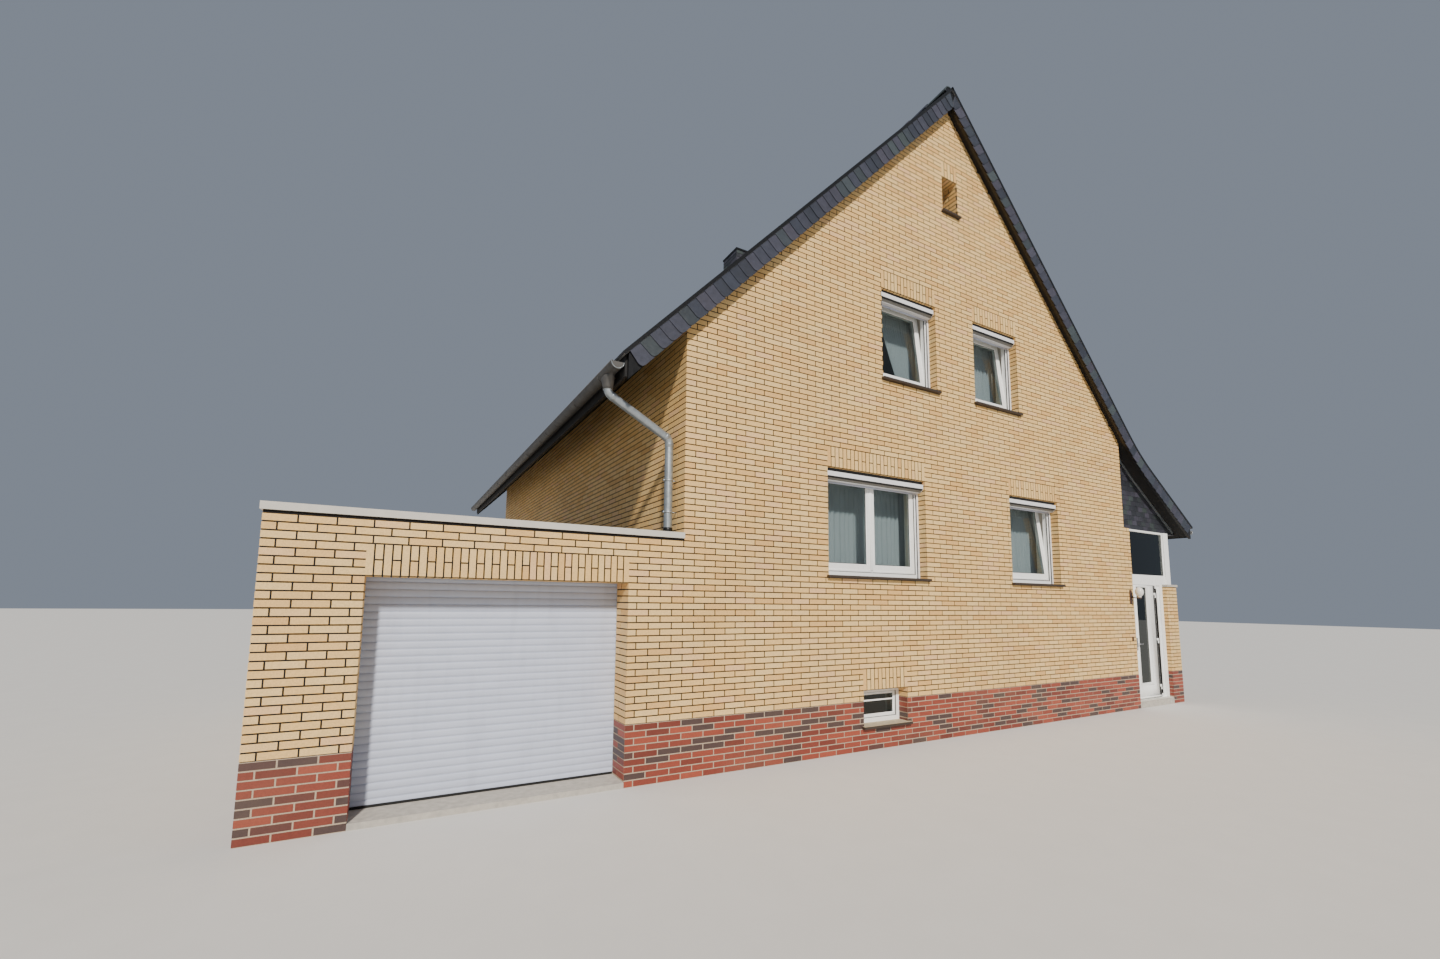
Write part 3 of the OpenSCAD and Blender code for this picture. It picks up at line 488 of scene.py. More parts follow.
def lay_courses(shape, wall, u0, u1, v0, v1, holes=(), lines=()):
    """Lays slips in half bond from u0 to u1 and v0 to v1, round the holes and along the slanted lines."""
    size = bpy.context.scene.facing
    module = size.length + size.joint
    for k in range(round(v0 / COURSE), math.ceil(v1 / COURSE - 1e-6)):
        low, high = k * COURSE + size.joint / 2, min((k + 1) * COURSE - size.joint / 2, v1)
        spans = [(u0, u1)]
        for a, b, c, d in holes:
            if c < high - 0.002 and d > low + 0.002:
                spans = left_over(spans, a - 1e-6, b + 1e-6)
        start = wall.shift + (module / 2 if k % 2 else 0.0)
        for a, b in spans:
            row, x = [], start + math.floor((a - start) / module) * module
            while x < b:
                p, q = max(x, a), min(x + size.length, b)
                if q - p > SLIVER:
                    row.append([p, q])
                x += module
            if len(row) > 1 and row[0][1] - row[0][0] < SHORT_SLIP:
                row = [[row[0][0], row[1][1]]] + row[2:]
            if len(row) > 1 and row[-1][1] - row[-1][0] < SHORT_SLIP:
                row = row[:-2] + [[row[-2][0], row[-1][1]]]
            for p, q in row:
                outline = trimmed([(p, low), (q, low), (q, high), (p, high)], lines)
                if outline and flat_area(outline) > SCRAP:
                    shape.face([wall.at(u, v) for u, v in outline])


def upright_slips(u0, u1):
    """Both edges of each upright slip between u0 and u1."""
    size = bpy.context.scene.facing
    count = max(3, round((u1 - u0 + size.joint) / (size.height + size.joint)))
    step = (u1 - u0 + size.joint) / count
    return [(u0 + i * step, u0 + i * step + step - size.joint) for i in range(count)]


def lay_soldiers(shape, wall, u0, u1, v0):
    """Lays upright slips over an opening: full ones alternate with pairs of halves."""
    edge = bpy.context.scene.facing.joint / 2
    low, high = v0 + edge, v0 + LINTEL - edge
    middle = (low + high) / 2
    for i, (a, b) in enumerate(upright_slips(u0, u1)):
        for c, d in [(low, middle - edge), (middle + edge, high)] if i % 2 else [(low, high)]:
            shape.face(wall.rect(a, b, c, d))


def lay_reveal(shape, wall, hole, depth, sill=True, head=True):
    """Lines both sides and the head of an opening with slips."""
    x0, x1, z0, z1 = hole
    n, low = wall.normal, z0 + (SILL if sill else 0.0)
    lay_courses(shape, Wall(wall.at(x0, 0), -n), SLIVER, depth, low, z1)
    lay_courses(shape, Wall(wall.at(x1, 0) - n * depth, n), 0.0, depth - SLIVER, low, z1)
    if head:
        under = Wall(wall.at(x0, z1) - n * depth, wall.along, n)
        for a, b in upright_slips(0.0, x1 - x0):
            shape.face(under.rect(a, b, bpy.context.scene.facing.joint / 2, depth - SLIVER))


def line_opening(shape, wall, hole):
    """Lays the soldier lintel over an opening and lines its reveal above the plinth."""
    x0, x1, z0, z1 = hole
    lay_soldiers(shape, wall, x0, x1, z1)
    lay_reveal(
        shape, wall, (x0, x1, max(z0, PLINTH_Z), z1), DEEP_REVEALS.get(hole, REVEAL), sill=z0 > PLINTH_Z
    )


def roof_lines(depth):
    """Slanted lines that bound a gable at a depth square to the slope, in u from the left corner."""
    pitch = bpy.context.scene.roof.pitch
    top = RIDGE_Z - depth / math.cos(pitch)
    slope = math.tan(pitch)
    return [(-slope, 1.0, top - slope * WIDTH / 2), (slope, 1.0, top + slope * WIDTH / 2)]


# How far the roof line runs past the boarding's edge
OVERHANG = 0.07


def roof_profile(side):
    """Points of the roof's upper line from the ridge to the eave in x and z, as in the solids."""
    roof = bpy.context.scene.roof
    pitch, low, radius = roof.pitch, roof.eave_pitch, roof.flare_radius
    ridge = (WIDTH / 2, RIDGE_Z)
    if side == "left":
        x = EAVE_LEFT - OVERHANG
        return [ridge, (x, RIDGE_Z - (WIDTH / 2 - x) * math.tan(pitch))]
    start = WIDTH + roof.flare_start
    centre_x = start + radius * math.sin(pitch)
    centre_z = RIDGE_Z - (start - WIDTH / 2) * math.tan(pitch) + radius * math.cos(pitch)
    turns = [pitch + (low - pitch) * i / 8 for i in range(9)]
    points = [ridge] + [(centre_x - radius * math.sin(a), centre_z - radius * math.cos(a)) for a in turns]
    x = EAVE_RIGHT + OVERHANG
    return points + [(x, points[-1][1] - (x - points[-1][0]) * math.tan(low))]


class Slope:
    """Measures along one roof line from the ridge; depth is square to it, below the covering's top."""

    def __init__(self, side):
        self.points = roof_profile(side)
        self.out = -1 if side == "left" else 1
        self.at_point = [0.0]
        for p, q in zip(self.points, self.points[1:]):
            self.at_point.append(self.at_point[-1] + math.dist(p, q))
        self.length = self.at_point[-1]

    def spot(self, s, depth=0.0):
        """Place in x and z at a distance along the line."""
        i = 0
        while i < len(self.points) - 2 and s > self.at_point[i + 1]:
            i += 1
        p, q = self.points[i], self.points[i + 1]
        run = math.dist(p, q)
        t = (s - self.at_point[i]) / run
        dx, dz = (q[0] - p[0]) / run, (q[1] - p[1]) / run
        x = p[0] + (q[0] - p[0]) * t + dz * depth * self.out
        return x, p[1] + (q[1] - p[1]) * t - dx * depth * self.out

    def at_x(self, x):
        """Distance along the line at a given x."""
        for i, (p, q) in enumerate(zip(self.points, self.points[1:])):
            if (x - p[0]) * self.out <= (q[0] - p[0]) * self.out:
                break
        return self.at_point[i] + math.dist(p, q) * (x - p[0]) / (q[0] - p[0])

    def along(self, s, y, depth=0.0):
        x, z = self.spot(s, depth)
        return Vector((x, y, z))

    def ring(self, s, profile, y=0.0, face=1):
        """A profile of (distance across, depth) at one place of the line; face -1 turns it to the street."""
        return [self.along(s, y + face * across, depth) for across, depth in profile]


def lay_slates(shape, side, y0, y1, hole=None):
    """Lays slates in double lap from eave to ridge, each with its head under the next two rows."""
    roof = bpy.context.scene.roof
    slope = Slope(side)
    rng = random.Random(roof.seed)
    long, short, gap, thick = roof.gauge * 2.2, 0.13, 0.0015, roof.slate_thickness
    if hole:
        s0, s1 = (slope.at_x(x) for x in (hole[1], hole[0]))
    for i in range(-1, int((slope.length - 0.06) / roof.gauge)):
        # The row before the first is the short one under the eave slates
        low = slope.length - max(i, 0) * roof.gauge
        high = max(low - (long if i >= 0 else short), 0.012)
        tail = thick + (0.0 if i >= 0 else thick + 0.001)
        parts = [(y0, y1, high, low)]
        if hole and high < s1 and low > s0:
            parts = [(y0, hole[2], high, low), (hole[3], y1, high, low)]
            parts += [(hole[2], hole[3], high, s0)] if s0 - high > 0.02 else []
            parts += [(hole[2], hole[3], s1, low)] if low - s1 > 0.02 else []
        for a, b, top, foot in parts:
            y = y0 - (roof.slate_width / 2 if i % 2 else 0.0)
            while y < b:
                p, q = max(y + gap, a), min(y + roof.slate_width - gap, b)
                y += roof.slate_width
                if q - p > 0.02:
                    lift = rng.uniform(0.0, 0.0016)
                    d0, d1 = (tail - lift + (roof.bed - tail) * (low - s) / long for s in (foot, top))
                    corners = slope.ring(foot, ((p, d0), (q, d0))) + slope.ring(top, ((q, d1), (p, d1)))
                    shape.face(corners if side == "right" else corners[::-1])


def lay_felt(shape, side, y0, y1, hole=None):
    """A closed sheet of felt on the boarding, and a fillet that tips up the eave slates."""
    slope = Slope(side)
    head, foot, fillet, fillet_top = 0.004, slope.length - 0.006, 0.07, 0.0215
    sheets = [(head, foot, y0, y1)]
    if hole:
        s0, s1 = (slope.at_x(x) for x in (hole[1], hole[0]))
        sheets = [
            (head, foot, y0, hole[2]), (head, foot, hole[3], y1), (head, s0, *hole[2:]),
            (s1, foot, *hole[2:])
        ]
    layers = [(*sheet, FELT_TOP, FELT_FOOT) for sheet in sheets]
    for s0, s1, a, b, over, under in layers + [(foot - fillet, foot, y0, y1, fillet_top, FELT_TOP)]:
        spots = [s0] + [s for s in slope.at_point if s0 < s < s1] + [s1]
        shape.rings([slope.ring(s, ((a, over), (b, over), (b, under), (a, under))) for s in spots])


def lay_verge(shape, side, y, face):
    """Hangs slates with one rounded lower corner along a verge board; face is -1 for the street side."""
    slope = Slope(side)
    end, top, depth, round_off = slope.length - 0.07, 0.034, 0.236, 0.055
    count = round(end / bpy.context.scene.roof.verge_width)
    step = end / count
    for i in range(count):
        low = end - i * step
        high = max(low - step * 1.2, 0.0)
        # The slate at the eave is longer at the left and shorter at the right than the others
        tip = low + ({"left": 0.02, "right": -0.03}[side] if i == 0 else -0.008)
        outline = [(high, top, 0.002), (low, top, 0.010), (tip, depth - round_off, 0.011)]
        for t in (0.5, 1.0, math.pi / 2):
            outline.append(
                (tip - round_off * (1 - math.cos(t)), depth - round_off + round_off * math.sin(t), 0.011)
            )
        outline.append((high, depth, 0.003))
        corners = [slope.along(s, y + face * out, d) for s, d, out in outline]
        keep = [c for c in corners if (c.x - WIDTH / 2) * slope.out >= -1e-6]
        corners = [
            Vector((c.x if (c.x - WIDTH / 2) * slope.out > 0 else WIDTH / 2, c.y, c.z)) for c in corners
        ]
        if len(keep) > 2:
            turn = (corners[1] - corners[0]).cross(corners[2] - corners[1])
            shape.face(corners if turn.y * face > 0 else corners[::-1])


def small_slates(u0, u1, v0, v1, gauge, cut=lambda middle: (), limit=math.inf):
    """Outlines of small slates in half bond as (u, v, out); cut gives the slanted lines at a middle."""
    width, lap, gap = bpy.context.scene.roof.small_slate, gauge * 1.3, 0.001
    for i in range(math.ceil((v1 - v0) / gauge)):
        low = v0 + i * gauge
        high = min(low + lap, limit)
        u = u0 - (width / 2 if i % 2 else 0.0)
        while u < u1:
            p, q = max(u + gap, u0), min(u + width - gap, u1)
            u += width
            slate = [(p, low), (q, low), (q, high), (p, high)] if q - p > 0.012 else []
            outline = trimmed(slate, cut((p + q) / 2))
            if outline and flat_area(outline) > 0.0005:
                yield [(a, b, 0.008 - 0.007 * (b - low) / lap) for a, b in outline]



# Finishes


def new_finish(name):
    material = bpy.data.materials.new(name)
    material.use_nodes = True
    material.node_tree.nodes.clear()
    return material, material.node_tree


def close_finish(material, tree, shader):
    add(tree, "ShaderNodeOutputMaterial", {"Surface": shader})
    return material


def shades(tree, factor, stops):
    """A colour ramp from (position, colour) pairs."""
    ramp = add(tree, "ShaderNodeValToRGB", {"Fac": factor})
    while len(ramp.color_ramp.elements) < len(stops):
        ramp.color_ramp.elements.new(0.5)
    for element, (spot, value) in zip(ramp.color_ramp.elements, stops):
        element.position, element.color = spot, (*value[:3], 1.0)
    return ramp.outputs["Color"]


def grain(tree, scale, detail=3.0, stretch=(1, 1, 1)):
    """Noise in object space; scale is in patches per metre."""
    where = add(tree, "ShaderNodeTexCoord").outputs["Object"]
    placed = add(tree, "ShaderNodeMapping", {"Vector": where, "Scale": stretch})
    wires = {"Vector": placed, "Scale": scale, "Detail": detail, "Roughness": 0.55}
    return add(tree, "ShaderNodeTexNoise", wires).outputs["Fac"]


def spread(tree, value, low, high, start=0.3, end=0.7):
    """Maps a pattern's middle range to low and high."""
    wires = {"Value": value, "From Min": start, "From Max": end, "To Min": low, "To Max": high}
    return add(tree, "ShaderNodeMapRange", wires).outputs["Result"]


def stained(tree, share, body, stain, mode="MIX"):
    """Lays a second colour over the first by a share."""
    return add(
        tree, "ShaderNodeMix", {0: share, 6: body, 7: stain}, data_type="RGBA", blend_type=mode
    ).outputs[2]


def mottled(tree, body, cloud):
    """Darkens and lightens a colour by a pattern."""
    grey = add(tree, "ShaderNodeCombineColor", {0: cloud, 1: cloud, 2: cloud}).outputs[0]
    return stained(tree, 1.0, body, grey, "MULTIPLY")


def uneven(tree, height, distance, strength=0.6):
    """Relief from a pattern, with its depth in metres."""
    return add(
        tree, "ShaderNodeBump", {"Height": height, "Distance": distance, "Strength": strength}
    ).outputs["Normal"]


def slip_clay(name, stops, rough):
    """Extruded clay slips, kiln-fired: matt, each its own shade, with fine drag marks and small pits."""
    material, tree = new_finish(name)
    shade = add(tree, "ShaderNodeAttribute", attribute_name="shade").outputs["Fac"]
    tone = add(tree, "ShaderNodeAttribute", attribute_name="tone").outputs["Fac"]
    body = shades(tree, shade, stops)
    # Mottle of 11 mm, soot in clouds of 0.9 m, pits and drag marks of about 3 mm
    body = mottled(tree, body, spread(tree, grain(tree, 90, 4), 0.86, 1.1))
    soot = spread(tree, grain(tree, 1.1, 3), 0.0, 0.16, 0.5, 0.75)
    body = stained(tree, soot, body, linear("#8C7A60"))
    pits = spread(tree, grain(tree, 420, 2), 1.0, 0.0, 0.30, 0.36)
    share = add(tree, "ShaderNodeMath", {0: pits, 1: 0.35}, operation="MULTIPLY").outputs[0]
    body = stained(tree, share, body, linear("#5B4733"))
    wires = {0: grain(tree, 300, 3, (1, 1, 3)), 1: spread(tree, tone, 0.0, 0.2, 0, 1)}
    rise = add(tree, "ShaderNodeMath", wires, operation="ADD").outputs[0]
    gloss = spread(tree, grain(tree, 160, 3), rough - 0.1, rough + 0.12)
    wires = {"Base Color": body, "Roughness": gloss, "Normal": uneven(tree, rise, 0.0012), "IOR": 1.5}
    return close_finish(material, tree, add(tree, "ShaderNodeBsdfPrincipled", wires))


def joint_mortar(name, mortar, *rooms):
    """Cement mortar, struck flush: rough and grainy; inside the rooms pale trowelled lime plaster."""
    material, tree = new_finish(name)
    sand = spread(tree, grain(tree, 240, 4), 0.0, 1.0)
    body = stained(tree, sand, [c * 0.8 for c in mortar], [min(1, c * 1.25) for c in mortar])
    where = add(tree, "ShaderNodeSeparateXYZ", {0: add(tree, "ShaderNodeTexCoord").outputs["Object"]})
    covered = None
    for low, high in rooms:
        part = None
        for axis in range(2):
            for value, test in ((low[axis], "GREATER_THAN"), (high[axis], "LESS_THAN")):
                side = add(
                    tree, "ShaderNodeMath", {0: where.outputs[axis], 1: value + CORNER[axis]}, operation=test
                )
                part = side if part is None else add(
                    tree, "ShaderNodeMath", {0: part, 1: side}, operation="MULTIPLY"
                )
        covered = part if covered is None else add(
            tree, "ShaderNodeMath", {0: covered, 1: part}, operation="MAXIMUM"
        )
    body = stained(tree, covered, body, bpy.context.scene.finishes.plaster)
    wires = {"Base Color": body, "Roughness": 0.92, "Normal": uneven(tree, grain(tree, 500, 4), 0.0015)}
    return close_finish(material, tree, add(tree, "ShaderNodeBsdfPrincipled", wires))


def split_slate(name, base):
    """Split slate: layered, silky in grazing light, each slate grey with a hint of purple or green."""
    material, tree = new_finish(name)
    base = tuple(base)
    shade = add(tree, "ShaderNodeAttribute", attribute_name="shade").outputs["Fac"]
    tone = add(tree, "ShaderNodeAttribute", attribute_name="tone").outputs["Fac"]
    grey = shades(
        tree, shade, [(0.0, [c * 0.62 for c in base]), (0.5, base), (1.0, [min(1, c * 1.45) for c in base])]
    )
    purple, green = linear("#4E4A58"), linear("#46524D")
    hue = shades(tree, tone, [(0.0, purple), (0.45, base), (0.75, base), (1.0, green)])
    body = stained(tree, 0.5, grey, hue)
    body = mottled(tree, body, spread(tree, grain(tree, 22, 5), 0.8, 1.15))
    gloss = spread(tree, grain(tree, 60, 4), 0.38, 0.6)
    layers = uneven(tree, grain(tree, 130, 6, (1, 1, 2.5)), 0.0012, 0.8)
    wires = {"Base Color": body, "Roughness": gloss, "Normal": layers, "IOR": 1.55}
    return close_finish(material, tree, add(tree, "ShaderNodeBsdfPrincipled", wires))


def plain_finish(
    name, base, rough, patch, shift, bump=0.0, metal=0.0, stretch=(1, 1, 1), streak=0.0, ior=1.5
):
    """One colour with fine unevenness, patch in patches per metre; the callers say what it is."""
    material, tree = new_finish(name)
    body = mottled(tree, base, spread(tree, grain(tree, patch, 4, stretch), 1 - shift, 1 + shift))
    if streak:
        run = spread(tree, grain(tree, 9, 3, (1, 1, 0.12)), 0.0, streak, 0.5, 0.72)
        body = stained(tree, run, body, [c * 0.45 for c in base])
    gloss = spread(tree, grain(tree, patch * 2.3, 3, stretch), max(rough - 0.08, 0.02), rough + 0.08)
    wires = {"Base Color": body, "Roughness": gloss, "Metallic": metal}
    if not metal:
        wires["IOR"] = ior
    if bump:
        wires["Normal"] = uneven(tree, grain(tree, patch * 3, 4, stretch), bump)
    return close_finish(material, tree, add(tree, "ShaderNodeBsdfPrincipled", wires))


def sealed_pane(name, tint):
    """Float glass in a sealed unit: clear with a tint, mirror-smooth, reflecting more at a flat angle."""
    material, tree = new_finish(name)
    see = add(tree, "ShaderNodeBsdfTransparent", {"Color": tint})
    wires = {"Base Color": (0.9, 0.95, 0.93), "Metallic": 1.0, "Roughness": 0.015}
    shine = add(tree, "ShaderNodeBsdfPrincipled", wires)
    inside = add(tree, "ShaderNodeNewGeometry").outputs["Backfacing"]
    outside = add(tree, "ShaderNodeMath", {0: 1.0, 1: inside}, operation="SUBTRACT")
    fresnel = add(tree, "ShaderNodeFresnel", {"IOR": 1.52})
    gloss = add(tree, "ShaderNodeMath", {0: fresnel, 1: outside}, operation="MULTIPLY")
    return close_finish(material, tree, add(tree, "ShaderNodeMixShader", {0: gloss, 1: see, 2: shine}))


def net_cloth(name):
    """Polyester net, woven open: soft, lets light through; threads are drawn coarser than 2 mm to show."""
    material, tree = new_finish(name)
    along = add(tree, "ShaderNodeUVMap", uv_map="cloth")
    wires = {"Vector": along, "Scale": 80.0, "Distortion": 0.4}
    weave = add(tree, "ShaderNodeTexWave", wires, wave_type="BANDS", bands_direction="X").outputs["Fac"]
    base = tuple(bpy.context.scene.finishes.net)
    body = stained(tree, spread(tree, weave, 0.0, 0.35, 0, 1), base, [c * 0.7 for c in base])
    cloth = add(
        tree, "ShaderNodeBsdfPrincipled", {"Base Color": body, "Roughness": 0.85, "Sheen Weight": 0.3}
    )
    back = add(tree, "ShaderNodeBsdfTranslucent", {"Color": base})
    glow = add(tree, "ShaderNodeMixShader", {0: 0.4, 1: cloth, 2: back})
    see = add(tree, "ShaderNodeBsdfTransparent")
    return close_finish(material, tree, add(tree, "ShaderNodeMixShader", {0: 0.82, 1: see, 2: glow}))


FINISH = {}


def make_finishes():
    """All finishes by name, made once."""
    c = bpy.context.scene.finishes
    side, gable, porch_start = 0.363, 0.2105, 0.30
    room = ((side, gable), (WIDTH - side, DEPTH - gable))
    porch = ((WIDTH - 0.002, porch_start), (PIER_X + 0.002, DEPTH - side))
    buff = (c.buff_dark, c.buff, c.buff, c.buff_pale, c.buff_pale, c.buff_pink)
    red = (c.red_dark, c.red_dark, linear("#6E3125"), c.red, linear("#914230"), linear("#9E4B36"))
    FINISH.update(
        buff=slip_clay("wire_cut_buff_clay", list(zip((0.0, 0.22, 0.5, 0.68, 0.86, 1.0), buff)), 0.62),
        red=slip_clay("fired_red_clinker", list(zip((0.0, 0.2, 0.3, 0.55, 0.8, 1.0), red)), 0.5),
        wall=joint_mortar("dark_cement_joint", c.joint, room, porch),
        plinth=joint_mortar("pale_cement_joint", c.plinth_joint, room),
        slate=split_slate("split_slate", c.slate),
        small=split_slate("small_split_slate", c.small_slate),
        # Black coated sheet steel, folded: smooth, low gloss
        edge=plain_finish("black_coated_sheet", c.edge, 0.4, 30, 0.08),
        # Sawn softwood, stained black-brown: grain along the eave; its near-black is also painted shade
        # under the eaves and at the back of the attic vent
        timber=plain_finish("stained_softwood", c.timber, 0.7, 40, 0.3, 0.001, stretch=(1, 0.06, 1)),
        # Rolled zinc, weathered to a dull pale grey with a soft patina
        zinc=plain_finish("weathered_zinc", c.zinc, 0.42, 14, 0.12, 0.0004, metal=0.75),
        # The gutters and their brackets are a darker brown-grey than the pipes
        old_zinc=plain_finish("patinated_zinc", c.old_zinc, 0.55, 10, 0.18, 0.0004, metal=0.35),
        # Roll-formed and powder-coated aluminium, nearly white, satin
        shutter=plain_finish("powder_coated_aluminium", c.shutter, 0.38, 12, 0.03),
        # The slanted flaps have the same coating, painted a darker grey as the shade on their downward slant
        flap=plain_finish("weathered_coated_aluminium", c.flap, 0.5, 12, 0.08),
        # The tops of the cellar sills are paler than the sill stone
        pale_stone=plain_finish("pale_cement_skin", c.pale_sill, 0.8, 30, 0.15, 0.0006),
        # Extruded rigid vinyl, satin white, hardly any texture
        white=plain_finish("extruded_white_vinyl", c.frame_white, 0.32, 12, 0.02, ior=1.53),
        # Roll-formed aluminium with a baked coat: pale grey-lilac, satin
        slat=plain_finish("coated_aluminium_slat", c.slat, 0.36, 8, 0.04, stretch=(0.3, 1, 1), streak=0.12),
        trim=plain_finish("coated_aluminium_trim", c.trim, 0.4, 10, 0.05),
        # Sawn and honed stone, brown-grey with a fine grain
        sill=plain_finish("honed_sill_stone", c.sill, 0.5, 130, 0.22, 0.0006),
        # Cast concrete: dull, blotchy, with fine sand on its face
        concrete=plain_finish("cast_concrete", c.concrete, 0.9, 18, 0.14, 0.002),
        # Bitumen felt with fine mineral grit
        felt=plain_finish("mineral_roofing_felt", linear("#6C6B69"), 0.95, 90, 0.2, 0.003),
        pane=sealed_pane("sealed_float_glass", c.pane),
        # The porch and door panes see through a dark green tint that paints the reflection of trees
        dark_pane=sealed_pane("tinted_float_glass", c.porch_pane),
        net=net_cloth("polyester_net"),
        # Extruded rubber: matt black
        rubber=plain_finish("black_rubber_gasket", linear("#141414"), 0.6, 60, 0.1),
        # Brushed stainless steel: fine lines along the grip
        steel=plain_finish(
            "brushed_stainless", linear("#B9BBBD"), 0.3, 200, 0.06, metal=1.0, stretch=(0.05, 1, 1)
        ),
        # Opal glass: milky white and glossy
        opal=plain_finish("opal_glass", linear("#ECEBE4"), 0.12, 10, 0.01),
        # Cast iron with a brown stove finish
        bronze=plain_finish("brown_enamelled_iron", linear("#4A3022"), 0.45, 40, 0.12),
    )


# The solids that wear each finish
WEARERS = {
    "wall": "front_wall_piers front_wall_bands back_wall_piers back_wall_bands left_wall right_wall"
    " porch_jamb_wall porch_parapet aisle_side_wall aisle_back_wall garage_front_wall garage_side_wall"
    " garage_back_wall",
    "plinth": "front_plinth back_plinth side_plinths aisle_plinth garage_plinth",
    "concrete": "ground_floor upper_floor attic_floor aisle_floor garage_floor parapet_coping",
    "felt": "garage_roof",
    "timber": "roof_deck_left roof_deck_right fascias attic_panels",
    "slate": "roof_tiles_left roof_tiles_right ridge_tiles",
    "edge": "verge_boards chimney_cap",
    "small": "chimney slate_gables",
    "old_zinc": "gutters gutter_brackets",
    "zinc": "downpipes",
    "white": "porch_beam porch_frames door_frame front_door window_frames window_sashes",
    "pane": "porch_glass window_glass door_pane",
    "steel": "door_handle",
    "sill": "window_sills",
    "trim": "garage_roof_trim garage_door_rails",
    "slat": "garage_door",
    "shutter": "shutters",
    "opal": "wall_lamp",
    "net": "net_curtains",
}

# Operators, one for each group of pieces


class HOUSE_OT_finishes(bpy.types.Operator):
    """Makes every finish and puts it on the solids"""

    bl_idname = "house.finishes"
    bl_label = "Finishes"

    def execute(self, context):
        make_finishes()
        for finish, nodes in WEARERS.items():
            for node in nodes.split():
                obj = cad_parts[node]
                if not obj.material_slots:
                    obj.data.materials.append(None)
                for slot in obj.material_slots:
                    slot.link = "OBJECT"
                    slot.material = FINISH[finish]
        return {"FINISHED"}


# Moves the bond of the side walls by half a slip
HALF_SLIP = 0.126

# Where the outer corner of a wall ends short of the plane beside it
CORNER_GAP = 0.012


def facing_sides():
    """The faced sides as planes."""
    return {
        "front": Wall((0, 0, 0), X),
        "back": Wall((WIDTH, DEPTH, 0), -X),
        "left": Wall((0, DEPTH, 0), -Y, shift=HALF_SLIP),
        "right": Wall((ANNEX_X, 0, 0), Y, shift=HALF_SLIP),
        "garage_left": Wall((GARAGE_X, GARAGE_Y, 0), -Y, shift=HALF_SLIP),
        "garage_back": Wall((0, GARAGE_Y, 0), -X),
    }


def porch_returns():
    """The narrow wall ends on both sides of the recessed porch front."""
    return Wall((JAMB_X, 0, 0), Y), Wall((PIER_X, PORCH_Y, 0), -Y)


def lintel_hole(hole):
    return (hole[0], hole[1], hole[3], hole[3] + LINTEL)


class HOUSE_OT_buff_slips(bpy.types.Operator):
    """Lays the buff slips with their soldier lintels and reveals on all sides"""

    bl_idname = "house.buff_slips"
    bl_label = "Buff slips"

    def execute(self, context):
        size, pitch = context.scene.facing, context.scene.roof.pitch
        p = size.proud
        walls = facing_sides()
        lines = roof_lines(ROOF_DEPTH)
        holes = [h for o in GABLE_OPENINGS for h in (o, lintel_hole(o))]
        front, back, left, right = Shape(), Shape(), Shape(), Shape()

        garage = [GARAGE_OPENING, lintel_hole(GARAGE_OPENING)]
        wall = walls["front"]
        # The gable widens by the proud faces of the side slips above the garage and the porch
        shoulder, gable = math.floor(GARAGE_Z / COURSE) * COURSE, 49 * COURSE
        lay_courses(front, wall, GARAGE_X - p, JAMB_X + p, PLINTH_Z, shoulder, holes + garage)
        lay_courses(front, wall, 0.0, JAMB_X + p, shoulder, gable, holes)
        lay_courses(front, wall, -p, WIDTH + p, gable, RIDGE_Z, holes, lines)
        lay_courses(front, wall, PIER_X - p, ANNEX_X + p, PLINTH_Z, PARAPET_Z)
        for hole in GABLE_OPENINGS + (GARAGE_OPENING,):
            line_opening(front, wall, hole)
        for side, top in zip(porch_returns(), (SLATE_Z, PARAPET_Z)):
            lay_courses(front, side, 0.0, PORCH_Y, PLINTH_Z, top)

        wall = walls["back"]
        lay_courses(back, wall, -p, WIDTH + p, PLINTH_Z, RIDGE_Z, holes, lines)
        lay_courses(back, wall, WIDTH - ANNEX_X - p, -CORNER_GAP, PLINTH_Z, SLATE_Z)
        for hole in GABLE_OPENINGS:
            line_opening(back, wall, hole)

        eave = roof_profile("left")[0][1] - ROOF_DEPTH / math.cos(pitch) - WIDTH / 2 * math.tan(pitch)
        lay_courses(left, walls["left"], 0.0, DEPTH - GARAGE_Y, PLINTH_Z, eave)
        lay_courses(left, walls["left"], DEPTH - GARAGE_Y, DEPTH, GARAGE_Z + 0.07, eave)
        lay_courses(left, walls["garage_left"], 0.0, GARAGE_Y, PLINTH_Z, GARAGE_Z)
        lay_courses(left, walls["garage_back"], CORNER_GAP, -GARAGE_X, PLINTH_Z, GARAGE_Z)

        wall = walls["right"]
        aisle_top = 3.30
        ledge = math.ceil((PARAPET_Z + TRANSOM) / COURSE) * COURSE
        # The end of the aisle wall beside the porch glazing
        lay_courses(right, Wall((0, PORCH_LENGTH, 0), X), SIDE_LIGHT_X + 0.002, ANNEX_X, ledge, SLATE_Z)
        lay_courses(right, wall, 0.0, PORCH_LENGTH, PLINTH_Z, PARAPET_Z)
        lay_courses(right, wall, PORCH_LENGTH, DEPTH, PLINTH_Z, aisle_top, [AISLE, lintel_hole(AISLE)])
        line_opening(right, wall, AISLE)

        tree = plate_tree()
        values = {"Thickness": p, "Unevenness": 0.0006, "Seed": size.seed}
        for name, shape in (("front", front), ("back", back), ("left", left), ("right", right)):
            grow(f"buff_slips_{name}", shape, tree, values, "buff")
        return {"FINISHED"}


